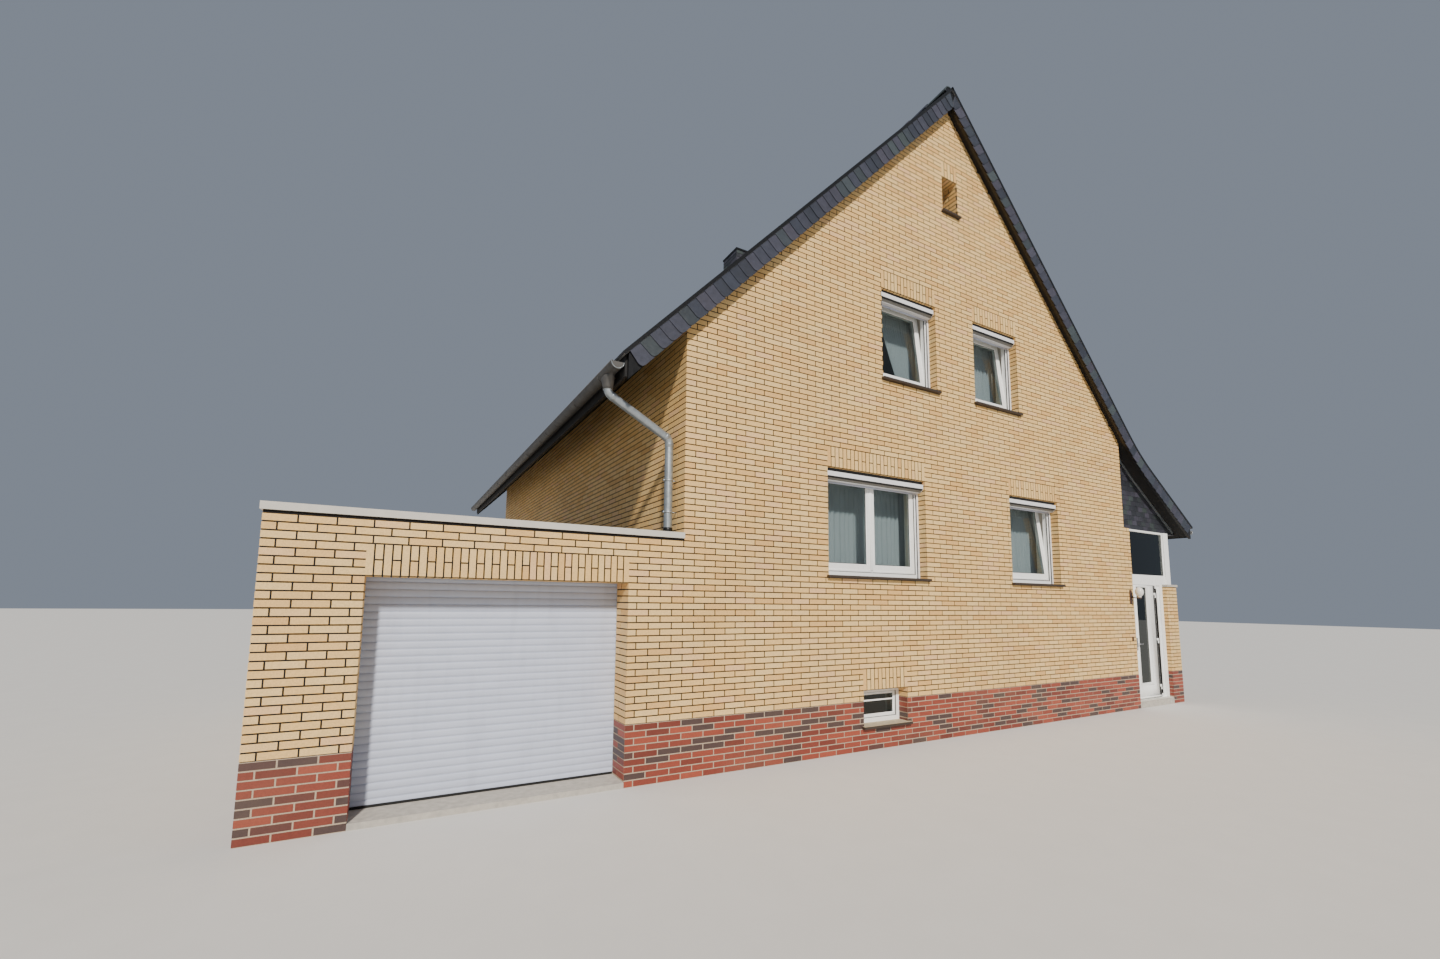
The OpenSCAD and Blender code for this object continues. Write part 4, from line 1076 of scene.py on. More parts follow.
class HOUSE_OT_plinth_slips(bpy.types.Operator):
    """Lays the red slips of the plinth on all sides"""

    bl_idname = "house.plinth_slips"
    bl_label = "Plinth slips"

    def execute(self, context):
        size = context.scene.facing
        p = size.proud
        walls = facing_sides()
        shape = Shape()
        for side, u0, u1, holes in (
            ("front", GARAGE_X - p, JAMB_X + p, [CELLAR, GARAGE_OPENING]),
            ("front", PIER_X - p, ANNEX_X + p, []),
            ("back", WIDTH - ANNEX_X - p, WIDTH + p, [CELLAR]),
            ("left", 0.0, DEPTH - GARAGE_Y, []),
            ("garage_left", 0.0, GARAGE_Y, []),
            ("garage_back", CORNER_GAP, -GARAGE_X, []),
            ("right", 0.0, DEPTH, []),
        ):
            lay_courses(shape, walls[side], u0, u1, 0.0, PLINTH_Z, holes)
        for side in ("front", "back"):
            lay_reveal(shape, walls[side], (*CELLAR[:3], PLINTH_Z), REVEAL, head=False)
        floor, step = 0.05, 0.11
        garage = (*GARAGE_OPENING[:2], floor, PLINTH_Z)
        lay_reveal(shape, walls["front"], garage, DEEP_REVEALS[GARAGE_OPENING], sill=False, head=False)
        for side in porch_returns():
            lay_courses(shape, side, 0.0, PORCH_Y, step, PLINTH_Z)
        values = {"Thickness": p, "Unevenness": 0.0008, "Seed": size.seed + 5}
        grow("plinth_slips", shape, plate_tree(), values, "red")
        return {"FINISHED"}


class HOUSE_OT_roof_slates(bpy.types.Operator):
    """Lays the felt, the slate rows of both slopes, the verge slates and the metal strips on their edges"""

    bl_idname = "house.roof_slates"
    bl_label = "Roof slates"

    def execute(self, context):
        roof = context.scene.roof
        tree = plate_tree()
        past_board, chimney_gap = 0.0160, 0.006
        y0, y1 = VERGE_Y - past_board, DEPTH - VERGE_Y + past_board
        low, high = reach("chimney")
        chimney = (low.x - chimney_gap, high.x + chimney_gap, low.y - chimney_gap, high.y + chimney_gap)
        felt, verge, edge = Shape(), Shape(), Shape()
        for side, hole in (("left", chimney), ("right", None)):
            shape, slope = Shape(), Slope(side)
            lay_slates(shape, side, y0, y1, hole)
            lay_felt(felt, side, y0 + 0.002, y1 - 0.002, hole)
            values = {"Thickness": roof.slate_thickness, "Unevenness": 0.0005, "Seed": roof.seed}
            slates = grow(f"roof_slates_{side}", shape, tree, values, "slate")
            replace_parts(slates, f"roof_tiles_{side}")
            spots = [0.001] + slope.at_point[1:]
            for y, face in ((VERGE_Y, -1), (DEPTH - VERGE_Y, 1)):
                lay_verge(verge, side, y, face)
                strip = ((0.0195, -0.001), (0.0195, 0.036), (0.0165, 0.036), (0.0165, -0.001))
                edge.rings([slope.ring(s, strip, y, face) for s in spots])
        solid("roofing_felt", felt, "felt")
        values = {"Thickness": 0.006, "Unevenness": 0.0005, "Seed": roof.seed + 3}
        grow("verge_slates", verge, tree, values, "slate")
        solid("verge_edge_strip", edge, "edge")
        return {"FINISHED"}


class HOUSE_OT_ridge_tiles(bpy.types.Operator):
    """Sets the half-round ridge tiles and closes their ends"""

    bl_idname = "house.ridge_tiles"
    bl_label = "Ridge tiles"

    def execute(self, context):
        roof = context.scene.roof
        low, high = reach("ridge_tiles")
        radius, total, thick = (high.x - low.x) / 2, high.y - low.y, 0.016
        centre = Vector((WIDTH / 2, low.y, high.z - radius))
        count = round(total / roof.ridge_step)
        step = total / count
        turns = [math.pi * (0.02 + 0.96 * k / 12) for k in range(13)]
        tile, rings = Shape(), []
        for y, shrink in ((0.0, 0.0), (step * 0.86, 0.012), (step + 0.02, 0.014)):
            outer = radius - shrink
            arc = [(outer, t) for t in turns] + [(outer - thick, t) for t in reversed(turns)]
            rings.append([centre + Vector((r * math.cos(t), y, r * math.sin(t))) for r, t in arc])
        tile.rings(rings)
        values = {"Count": count, "Step": (0, step, 0), "Seed": roof.seed + 9}
        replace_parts(grow("ridge_tile_row", tile, row_tree(), values, "slate"), "ridge_tiles")
        ends, inner = Shape(), radius - 0.017
        for y in (0.006, total - 0.012):
            turns = [math.pi * k / 16 for k in range(17)]
            ring = [centre + Vector((inner * math.cos(t), y, inner * math.sin(t))) for t in turns]
            ends.rings([ring, [p + Vector((0, 0.006, 0)) for p in ring]])
        solid("ridge_end_discs", ends, "edge")
        return {"FINISHED"}


class HOUSE_OT_hung_slates(bpy.types.Operator):
    """Hangs the small slates on the chimney and the porch gables"""

    bl_idname = "house.hung_slates"
    bl_label = "Hung slates"

    def execute(self, context):
        shape = Shape()
        low, high = reach("chimney")
        wide, deep = high.x - low.x, high.y - low.y
        foot, top, lip = 8.35, high.z - 0.004, 0.004
        faces = [(low.x, low.y, X, wide), (high.x, low.y, Y, deep)]
        faces += [(high.x, high.y, -X, wide), (low.x, high.y, -Y, deep)]
        for x, y, along, width in faces:
            wall = Wall((x, y, 0), along)
            for outline in small_slates(-lip, width + lip, foot, top, 0.085, limit=top):
                shape.face([wall.at(*corner) for corner in outline])
        slope = Slope("right")
        points = [slope.spot(s, ROOF_DEPTH) for s in slope.at_point if slope.spot(s)[0] > WIDTH]
        front, back = Wall((0, SLATE_Y, 0), X), Wall((WIDTH, DEPTH - SLATE_Y, 0), -X)

        def below_roof(middle):
            """Lines under the stretch of the flare above a slate, and before the eave."""
            p, q = min(zip(points, points[1:]), key=lambda s: max(s[0][0] - middle, middle - s[1][0], 0))
            slant = (p[1] - q[1]) / (q[0] - p[0])
            return [(slant, 1.0, p[1] + slant * p[0]), (1.0, 0.0, EAVE_RIGHT - 0.01)]

        for outline in small_slates(WIDTH + 0.002, EAVE_RIGHT, SLATE_Z, points[0][1], 0.09, below_roof):
            shape.face([front.at(*corner) for corner in outline])
            shape.face([back.at(WIDTH - x, z, out) for x, z, out in reversed(outline)])
        values = {"Thickness": 0.005, "Unevenness": 0.0004, "Seed": context.scene.roof.seed + 6}
        grow("hung_slates", shape, plate_tree(), values, "small")
        return {"FINISHED"}


class HOUSE_OT_garage_door(bpy.types.Operator):
    """Runs up the domed slats of the roller door over its rubber foot"""

    bl_idname = "house.garage_door"
    bl_label = "Roller door"

    def execute(self, context):
        trim = context.scene.trim
        low, high = reach("garage_door")
        step = (high.z - low.z) / trim.slats
        back, face, dome = high.y, low.y + trim.slat_dome, trim.slat_dome
        profile = [(face, 0.0), (face, 0.003)]
        for t in (math.pi * k / 6 for k in range(7)):
            profile.append((face - dome * math.sin(t), 0.004 + (step - 0.010) * (1 - math.cos(t)) / 2))
        profile += [(face + 0.003, step - 0.004), (face + 0.003, step), (back, step), (back, 0.0)]
        shape = Shape()
        shape.rings([[Vector((x, y, low.z + z)) for y, z in profile] for x in (low.x, high.x)])
        values = {"Count": trim.slats, "Step": (0, 0, step), "Seed": 4}
        slats = grow("roller_door_slats", shape, row_tree(), values, "slat")
        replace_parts(clean(slats), "garage_door")
        foot, y = Shape(), face - dome
        foot.box((low.x + 0.002, y - 0.004, low.z + 0.0005), (high.x - 0.002, y + 0.002, low.z + 0.022))
        solid("roller_door_foot", foot, "rubber")
        return {"FINISHED"}


# Windows, doors and metalwork

FRAME_W, SASH_W, SASH_FOOT, TILT = 0.055, 0.060, 0.095, math.radians(6)
CELLAR_SASH_W, CELLAR_SASH_FOOT = 0.022, 0.030
SILL_TOP = 0.030
BAR_W = 0.06


def mitred(shape, plane, rect, profile):
    """Runs a profile of (inset, out) round a rectangle with mitred corners."""
    u0, u1, v0, v1 = rect
    corners = ((u0, v0, 1, 1), (u1, v0, -1, 1), (u1, v1, -1, -1), (u0, v1, 1, -1))
    rings = [
        [plane.at(u + a * inset, v + b * inset, out) for inset, out in profile] for u, v, a, b in corners
    ]
    shape.rings(rings, closed=True)


def slab(shape, plane, across, up, out, soft=0.0):
    """A plate on a plane whose front edges are eased; each size is a pair of low and high."""
    (u0, u1), (v0, v1) = across, up
    steps = [(0.0, out[0]), (0.0, out[1] - soft)]
    steps += [(soft * 0.3, out[1] - soft * 0.3), (soft, out[1])] if soft else []
    shape.rings(
        [plane.rect(u0 + inset, u1 - inset, v0 + inset, v1 - inset, depth) for inset, depth in steps]
    )


def surround(shape, plane, outer, inner, back, ease=0.0):
    """A frame on a plane between two rectangles, whose outer edge lies back by ease."""
    path = ((outer, -ease), (inner, 0.0), (inner, back), (outer, back - ease))
    corners = ((0, 2), (1, 2), (1, 3), (0, 3))
    shape.rings([[plane.at(rect[i], rect[j], out) for rect, out in path] for i, j in corners], closed=True)


def bar(shape, wall, ends, profile):
    """Runs a profile of (depth, height) level along a wall between two ends."""
    shape.rings([[wall.at(u, v, -depth) for depth, v in profile] for u in ends])


def rounded_plate(shape, plane, u, v, half_width, half_height, radius, steps):
    """A plate with round corners about a middle; steps are pairs of inset and out."""
    rings = []
    for inset, out in steps:
        w, h = half_width - inset - radius, half_height - inset - radius
        ring = []
        for du, dv, start in ((w, h, 0), (-w, h, 90), (-w, -h, 180), (w, -h, 270)):
            turns = [math.radians(start + d) for d in (0, 22, 45, 67, 90)]
            ring += [
                plane.at(u + du + radius * math.cos(t), v + dv + radius * math.sin(t), out) for t in turns
            ]
        rings.append(ring)
    shape.rings(rings)


def all_windows():
    """Each window as its wall, opening, number of leaves and whether it stands tilted in."""
    walls = facing_sides()
    for side in ("front", "back"):
        for hole in ROOMS + (CELLAR,):
            tilted = side == "front" and hole not in (LIVING, CELLAR)
            yield walls[side], hole, 2 if hole is LIVING else 1, tilted
    yield walls["right"], AISLE, 1, False


def all_sashes():
    """The outer face of each sash as a plane from its lower left corner, with its size and opening."""
    for wall, hole, leaves, tilted in all_windows():
        x0, x1, z0, z1 = hole
        low = z0 + SILL_TOP + FRAME_W
        width, height = (x1 - x0 - 2 * FRAME_W) / leaves, z1 - FRAME_W - low
        angle = TILT if tilted else 0.0
        inward = -wall.normal * math.cos(angle) - Z * math.sin(angle)
        up = Z * math.cos(angle) - wall.normal * math.sin(angle)
        for i in range(leaves):
            pivot = wall.at(x0 + FRAME_W + i * width, low, -0.210)
            yield Wall(pivot - inward * 0.058, wall.along, up), width, height, hole


def glaze(beads, gaskets, plane, rect, depth):
    """Sloped bead and black gasket round a pane whose outer face lies depth behind the plane."""
    wide, foot, lip = bpy.context.scene.trim.gasket, 0.0002 - depth, 0.012
    mitred(
        beads, plane, rect, [(0.0, -0.003), (0.0, foot), (lip, foot), (lip, 0.004 - depth), (0.004, -0.003)]
    )
    inner = [(lip + wide * 0.6, 0.0026 - depth), (lip + wide, foot)]
    mitred(gaskets, plane, rect, [(lip + 0.0002, foot), (lip + 0.0002, 0.0034 - depth)] + inner)


class HOUSE_OT_window_trim(bpy.types.Operator):
    """Makes the sashes and panes of all windows with their beads, gaskets, weather bars and middle strips"""

    bl_idname = "house.window_trim"
    bl_label = "Window trim"

    def execute(self, context):
        sashes, panes, beads, gaskets, stone = Shape(), Shape(), Shape(), Shape(), Shape()
        gap = 0.0005
        for plane, width, height, hole in all_sashes():
            # The small cellar window has a slim sash
            side, foot = (CELLAR_SASH_W, CELLAR_SASH_FOOT) if hole is CELLAR else (SASH_W, SASH_FOOT)
            light = (side, width - side, foot, height - side)
            surround(sashes, plane, (gap, width - gap, gap, height - gap), light, -0.0575)
            slab(panes, plane, light[:2], light[2:], (-0.041, -0.017))
            glaze(beads, gaskets, plane, light, 0.017)
            if hole is CELLAR:
                # One glazing bar over the middle of the pane
                low = height * 0.64
                slab(beads, plane, light[:2], (low, low + 0.018), (-0.0168, -0.001), 0.003)
            else:
                slab(beads, plane, (0.02, width - 0.02), (0.006, 0.028), (0.0, 0.011), 0.004)
        for wall in (facing_sides()["front"], facing_sides()["back"]):
            x0, x1, z0, _ = CELLAR
            skin = (z0 + SILL_TOP + 0.0002, z0 + SILL_TOP + 0.0014)
            slab(stone, wall, (x0 + 0.002, x1 - 0.002), skin, (-0.150, 0.0))
            slab(stone, wall, (x0 - 0.029, x1 + 0.029), skin, (0.0, 0.049))
        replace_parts(solid("sash_frames", sashes, "white"), "window_sashes")
        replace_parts(solid("sash_panes", panes, "pane"), "window_glass")
        solid("cellar_sill_lining", stone, "pale_stone")
        for wall, (x0, x1, z0, z1), leaves, _ in all_windows():
            rect = (x0 + FRAME_W, x1 - FRAME_W, z0 + SILL_TOP + FRAME_W, z1 - FRAME_W)
            mitred(gaskets, wall, rect, [(0.0, -0.1415), (0.0, -0.1512), (0.005, -0.1512), (0.003, -0.1425)])
            if leaves == 2:
                middle = (x0 + x1) / 2
                upright = (rect[2] + 0.03, rect[3] - 0.002)
                slab(beads, wall, (middle - 0.018, middle + 0.018), upright, (-0.1515, -0.1435), 0.004)
        solid("window_beads", beads, "white", smooth=True)
        solid("window_gaskets", gaskets, "rubber")
        return {"FINISHED"}


class HOUSE_OT_porch_glazing(bpy.types.Operator):
    """Sets the slim frames, panes and beads of the porch over its transom and parapet"""

    bl_idname = "house.porch_glazing"
    bl_label = "Porch glazing"

    def execute(self, context):
        frames, beads, gaskets, panes = Shape(), Shape(), Shape(), Shape()
        front, side = Wall((0, PORCH_Y, 0), X), Wall((SIDE_LIGHT_X, 0, 0), Y)
        ledge, post = PARAPET_Z + TRANSOM, SIDE_LIGHT_X - POST
        # Corner post with eased edges, and the sill between the transom and the post
        r, x0, x1, y0, y1 = 0.006, post, SIDE_LIGHT_X, 0.045, 0.185
        plan = ((x0 + r, y0), (x1 - r, y0), (x1, y0 + r), (x1, y1), (x1 - BAR_W, y1), (x0, y1), (x0, y0 + r))
        frames.rings([[(x, y, z) for x, y in plan] for z in (ledge, SLATE_Z)])
        frames.box((PIER_X, PORCH_Y, ledge), (post, PORCH_Y + BAR_W, FAN_Z))
        fan = (JAMB_X + 0.022, post - 0.004, FAN_Z + 0.004, SLATE_Z - 0.024)
        surround(frames, front, (JAMB_X + 0.0005, post, FAN_Z, SLATE_Z), fan, -BAR_W)
        glaze(beads, gaskets, front, fan, 0.020)
        # Black strip on the frame at the left of the fanlight: painted shadow of the brick jamb
        slab(
            gaskets, front, (JAMB_X + 0.001, JAMB_X + 0.021), (FAN_Z + 0.002, SLATE_Z - 0.002), (0.0, 0.002)
        )
        panes.box((fan[0], 0.085, fan[2]), (fan[1], 0.109, fan[3]))
        long = (PORCH_LENGTH - y1 - 3 * BAR_W) / 2
        for i, (before, after) in enumerate(((BAR_W, BAR_W / 2), (BAR_W / 2, BAR_W))):
            u = y1 + BAR_W + i * (long + BAR_W)
            light = (u, u + long, ledge + BAR_W, SLATE_Z - BAR_W)
            surround(frames, side, (u - before, u + long + after, ledge, SLATE_Z), light, -BAR_W)
            glaze(beads, gaskets, side, light, 0.018)
            panes.box((SIDE_LIGHT_X - 0.042, light[0], light[2]), (SIDE_LIGHT_X - 0.018, light[1], light[3]))
        low, high = reach("front_door")
        x = low.x + LEAF_WIDTH + 0.035
        panes.box((x, 0.093, low.z + 0.06), (x + 0.05, 0.117, high.z - 0.055))
        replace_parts(solid("porch_panes", panes, "dark_pane"), "porch_glass")
        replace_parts(solid("porch_framing", frames, "white"), "porch_frames")
        solid("porch_beads", beads, "white", smooth=True)
        solid("porch_gaskets", gaskets, "rubber")
        return {"FINISHED"}


class HOUSE_OT_shutter_boxes(bpy.types.Operator):
    """Adds black strips painted as the shade over the boxes and in the groove of their faces, the guide
    strips, slanted flaps in painted shade, edge beads, end caps and end bars of the roller shutters
    """

    bl_idname = "house.shutter_boxes"
    bl_label = "Shutter boxes"

    def execute(self, context):
        walls = facing_sides()
        strips, trims, bars, flaps = Shape(), Shape(), Shape(), Shape()
        for wall, (x0, x1, z0, z1) in ((walls[side], hole) for side in ("front", "back") for hole in ROOMS):
            top, low = z1 - 0.045, z1 - 0.150

            def ends(inset):
                return x0 + inset, x1 - inset

            # Black strip filling the gap between the lintel and the box: painted shade under the lintel
            lid = [(0.045, top + 0.0005), (0.139, top + 0.0005), (0.139, z1 - 0.0005), (0.030, z1 - 0.0005)]
            bar(strips, wall, ends(0.002), lid)
            # Black strip between the face of the box and its slant: painted shade of a groove
            groove = ((0.0174, 0.048), (0.0180, 0.048), (0.0345, 0.0285), (0.0335, 0.0275), (0.0174, 0.0440))
            bar(strips, wall, ends(0.016), [(y, low + v) for y, v in groove])
            # Plate on the slant in a darker grey: painted shade
            flap = ((0.0350, 0.0285), (0.0343, 0.0277), (0.0612, 0.0008), (0.0619, 0.0016))
            bar(flaps, wall, ends(0.018), [(y, low + v) for y, v in flap])
            trims.tube([wall.at(u, low + 0.001, -0.0630) for u in ends(0.016)], 0.0035, 8)
            cap = [(0.016, top + 0.001), (0.016, low + 0.044), (0.062, low - 0.002)]
            cap += [(0.1395, low - 0.002), (0.1395, top + 0.001)]
            for a, b in ((x0 + 0.011, x0 + 0.0148), (x1 - 0.0148, x1 - 0.011)):
                bar(trims, wall, (a, b), cap)
            foot = (
                (0.118, 0.0), (0.118, 0.018), (0.121, 0.022), (0.127, 0.022), (0.130, 0.018), (0.130, 0.0)
            )
            bar(bars, wall, ends(0.035), [(y, low - v) for y, v in foot])
            guide = [(0.119, z0 + SILL), (0.129, z0 + SILL), (0.129, low - 0.001), (0.119, low - 0.001)]
            for a, b in ((x0 + 0.0322, x0 + 0.0352), (x1 - 0.0352, x1 - 0.0322)):
                bar(strips, wall, (a, b), guide)
        solid("shutter_seals", strips, "rubber")
        solid("shutter_box_flaps", flaps, "flap")
        solid("shutter_box_edges", trims, "shutter", smooth=True)
        solid("shutter_end_bars", bars, "slat", smooth=True)
        return {"FINISHED"}


def trough(shape, x, z, outer, inner, count, ends):
    """A half-round sleeve under a gutter's axis."""
    arc = [math.pi * k / count for k in range(count + 1)]
    rim = [(outer, t) for t in arc] + [(inner, t) for t in reversed(arc)]
    shape.rings([[(x + r * math.cos(t), y, z - r * math.sin(t)) for r, t in rim] for y in ends])


# Rainwater pipes: slant of the offset below level, bend radius and where the pipes stand off the wall
OFFSET_SLANT, BEND, PIPE_OFF = math.radians(28.5), 0.09, 0.095
GUTTER_REACH = 0.078


class HOUSE_OT_gutter_fittings(bpy.types.Operator):
    """Adds the edges, sleeves, outlets, collars, clips and shoes of gutters and pipes, and gable edges"""

    bl_idname = "house.gutter_fittings"
    bl_label = "Gutter fittings"

    def execute(self, context):
        roof, bead = context.scene.roof, context.scene.trim.bead
        gutter, zinc, shoes = Shape(), Shape(), Shape()
        y0, y1 = -0.083, DEPTH + 0.083
        # Side, outward sign, eave, pitch, outlet place and length, wall, foot of the pipe and its clips
        for side, out, x_eave, pitch, outlet, length, wall_x, foot, clips in (
            ("left", -1, EAVE_LEFT, roof.pitch, 0.200, 0.13, -PIPE_OFF, GARAGE_Z, (0.46, 0.80)),
            (
                "right", 1, EAVE_RIGHT, roof.eave_pitch, DEPTH - 0.060, 0.075, ANNEX_X + PIPE_OFF, 0.0,
                (0.35, 1.35, 2.25)
            ),
        ):
            x = x_eave + out * (0.024 + GUTTER_REACH)
            z = Slope(side).points[-1][1] + OVERHANG * math.tan(pitch) - 0.200 / math.cos(pitch) + 0.120
            gutter.tube([(x + out * 0.0625, y, z) for y in (y0, y1)], bead, 10)
            for y in (2.6, 5.2, 7.8):
                trough(gutter, x, z, 0.0695, 0.0680, 12, (y, y + 0.045))
            for ends in ((y0 - 0.0012, y0 + 0.006), (y1 - 0.006, y1 + 0.0012)):
                trough(zinc, x, z, 0.0705, 0.0620, 14, ends)
            funnel = ((0.047, length, 0.050), (0.062, length * 0.94, 0.072), (0.060, length * 0.72, 0.110))
            funnel += ((0.0535, 0.058, 0.165), (0.0505, 0.0505, 0.195), (0.0465, 0.0465, 0.195))
            turns = [2 * math.pi * k / 24 for k in range(24)]
            mouth = []
            for a, b, drop in funnel:
                mouth.append([(x + a * math.cos(t), outlet + b * math.sin(t), z - drop) for t in turns])
            gutter.rings(mouth)
            # Collars on both sides of each bend of the pipe
            run, turn = abs(wall_x - x), math.pi / 2 - OFFSET_SLANT
            tangent, knee = BEND * math.tan(turn / 2), z - 0.0683 - 0.160
            low = knee - run * math.tan(OFFSET_SLANT)
            inset, fall = BEND * (1 - math.cos(turn)), BEND * math.sin(turn)
            slant = (math.sin(turn), -math.cos(turn))
            joints = [(0.0, knee + tangent + 0.012, (0.0, -1.0)), (inset, knee + tangent - fall, slant)]
            joints += [(run - inset, low - tangent + fall, slant), (run, low - tangent, (0.0, -1.0))]
            for across, level, (da, db) in joints:
                middle, ahead = Vector((x - out * across, outlet, level)), Vector((-out * da, 0, db))
                collar = [
                    (0.0, 0.0452), (0.0, 0.0480), (0.006, 0.0495), (0.012, 0.0480), (0.040, 0.0475),
                    (0.042, 0.0452)
                ]
                zinc.lathe(middle - ahead * 0.004, ahead, collar, 20)
            for level in (low - clip for clip in clips):
                band = [(0.0, 0.0452), (0.0, 0.0485), (0.024, 0.0485), (0.024, 0.0452)]
                zinc.lathe((wall_x, outlet, level), Z, band, 20)
                stem = [(wall_x + s, outlet, level + 0.012) for s in (-out * 0.044, -out * 0.0945)]
                zinc.tube(stem, 0.0055, 8)
                near, far = (wall_x + out * s for s in (0.046, 0.062))
                zinc.box((near, outlet - 0.010, level + 0.002), (far, outlet + 0.010, level + 0.022))
            shoe = [(0.0, 0.0455), (0.0, 0.0500), (0.110, 0.0495), (0.125, 0.0470), (0.125, 0.0455)]
            shoes.lathe((wall_x, outlet, foot + 0.001), Z, shoe, 20)
        solid("gutter_beads", gutter, "old_zinc", smooth=True)
        solid("rainwater_fittings", zinc, "zinc", smooth=True)
        solid("pipe_shoes", shoes, "edge", smooth=True)
        rake, slope = Shape(), Slope("right")
        near, far, over, under = 0.0005, 0.0180, 0.2015, 0.2450

        def on_gable(s):
            x, z = slope.spot(s, under)
            return WIDTH + 0.01 < x < EAVE_RIGHT and z > SLATE_Z

        spots = [i * 0.1 for i in range(200) if on_gable(i * 0.1)]
        edge = ((near, over), (far, over), (far, under), (near, under))
        for y, face in ((SLATE_Y, -1), (DEPTH - SLATE_Y, 1)):
            rake.rings([slope.ring(s, edge, y, face) for s in spots])
        solid("slate_gable_edges", rake, "zinc")
        return {"FINISHED"}


class HOUSE_OT_chimney_flashing(bpy.types.Operator):
    """Dresses zinc sheet round the foot of the chimney and edges its slab"""

    bl_idname = "house.chimney_flashing"
    bl_label = "Chimney flashing"

    def execute(self, context):
        low, high = reach("chimney")
        slope = math.tan(context.scene.roof.pitch)
        shape, rings = Shape(), []
        sheet = (
            (0.12, 0.002), (0.12, 0.006), (0.018, 0.010), (0.018, 0.12), (0.0145, 0.12), (0.0145, 0.002)
        )
        for x, y, a, b in (
            (low.x, low.y, -1, -1), (high.x, low.y, 1, -1), (high.x, high.y, 1, 1), (low.x, high.y, -1, 1)
        ):
            ring = []
            for spread_by, rise in sheet:
                px = min(x + a * spread_by, WIDTH / 2 - 0.095)
                ring.append((px, y + b * spread_by, RIDGE_Z - (WIDTH / 2 - px) * slope + rise))
            rings.append(ring)
        shape.rings(rings, closed=True)
        solid("chimney_flashing", shape, "zinc")
        # Standing edge of the chimney slab
        low, high = reach("chimney_cap")
        rim, wide, thin = Shape(), 0.012, 0.0005
        profile = [(0.0, -wide), (0.0, 0.0), (wide, 0.0), (wide, -thin), (thin, -thin), (thin, -wide)]
        mitred(rim, Wall((low.x, low.y, high.z), X, Y), (0, high.x - low.x, 0, high.y - low.y), profile)
        solid("chimney_slab_edge", rim, "edge")
        return {"FINISHED"}


class HOUSE_OT_lamp(bpy.types.Operator):
    """Hangs the opal globe on its enamelled bracket and sets the bell push"""

    bl_idname = "house.lamp"
    bl_label = "Wall lamp"

    def execute(self, context):
        low, high = reach("wall_lamp")
        radius = 0.062
        centre = Vector(((low.x + high.x) / 2, low.y + radius, high.z - 0.0885))
        x, y, z = centre
        globe, bracket, push, wall = Shape(), Shape(), Shape(), Wall((0, 0, 0), X)
        profile = [(-0.1025, 0.0), (-0.1025, 0.029), (-0.092, 0.0275), (-0.080, 0.0275)]
        profile += [
            (0.0825 * math.sin(t), radius * math.cos(t))
            for t in (math.radians(d) for d in range(-63, 80, 9))
        ]
        profile += [(0.0815, 0.011), (0.0860, 0.0085), (0.0875, 0.0)]
        globe.lathe(centre, Z, profile, 36)
        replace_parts(solid("lamp_globe", globe, "opal", smooth=True), "wall_lamp")
        steps = ((0.0, 0.0003), (0.0, 0.007), (0.003, 0.010), (0.010, 0.012))
        rounded_plate(bracket, wall, x, z - 0.085, 0.042, 0.120, 0.020, steps)
        arm = z - 0.0925
        path = ((-0.010, 0.0), (-0.045, 0.003), (-0.085, 0.010), (-0.115, 0.016), (y - 0.004, 0.018))
        bracket.tube([(x, v, arm - drop) for v, drop in path], [0.010, 0.009, 0.008, 0.008, 0.009], 12)
        cup = [(0.0, 0.0), (0.0, 0.012), (0.006, 0.020), (0.010, 0.033), (0.026, 0.034), (0.026, 0.0305)]
        bracket.lathe((x, y, arm - 0.026), Z, cup + [(0.012, 0.0305), (0.012, 0.0)], 28)
        for v in (z - 0.165, z - 0.005):
            bracket.lathe(
                (x, -0.011, v), -Y, [(0.0, 0.0065), (0.002, 0.006), (0.0035, 0.004), (0.004, 0.0)], 14
            )
        solid("lamp_bracket", bracket, "bronze", smooth=True)
        slab(push, wall, (WIDTH + 0.035, WIDTH + 0.075), (1.16, 1.225), (0.004, 0.014), 0.003)
        button = [(0.0, 0.010), (0.002, 0.0105), (0.004, 0.009), (0.0045, 0.0)]
        push.lathe(wall.at(WIDTH + 0.055, 1.192, 0.013), -Y, button, 20)
        solid("bell_push", push, "bronze", smooth=True)
        return {"FINISHED"}


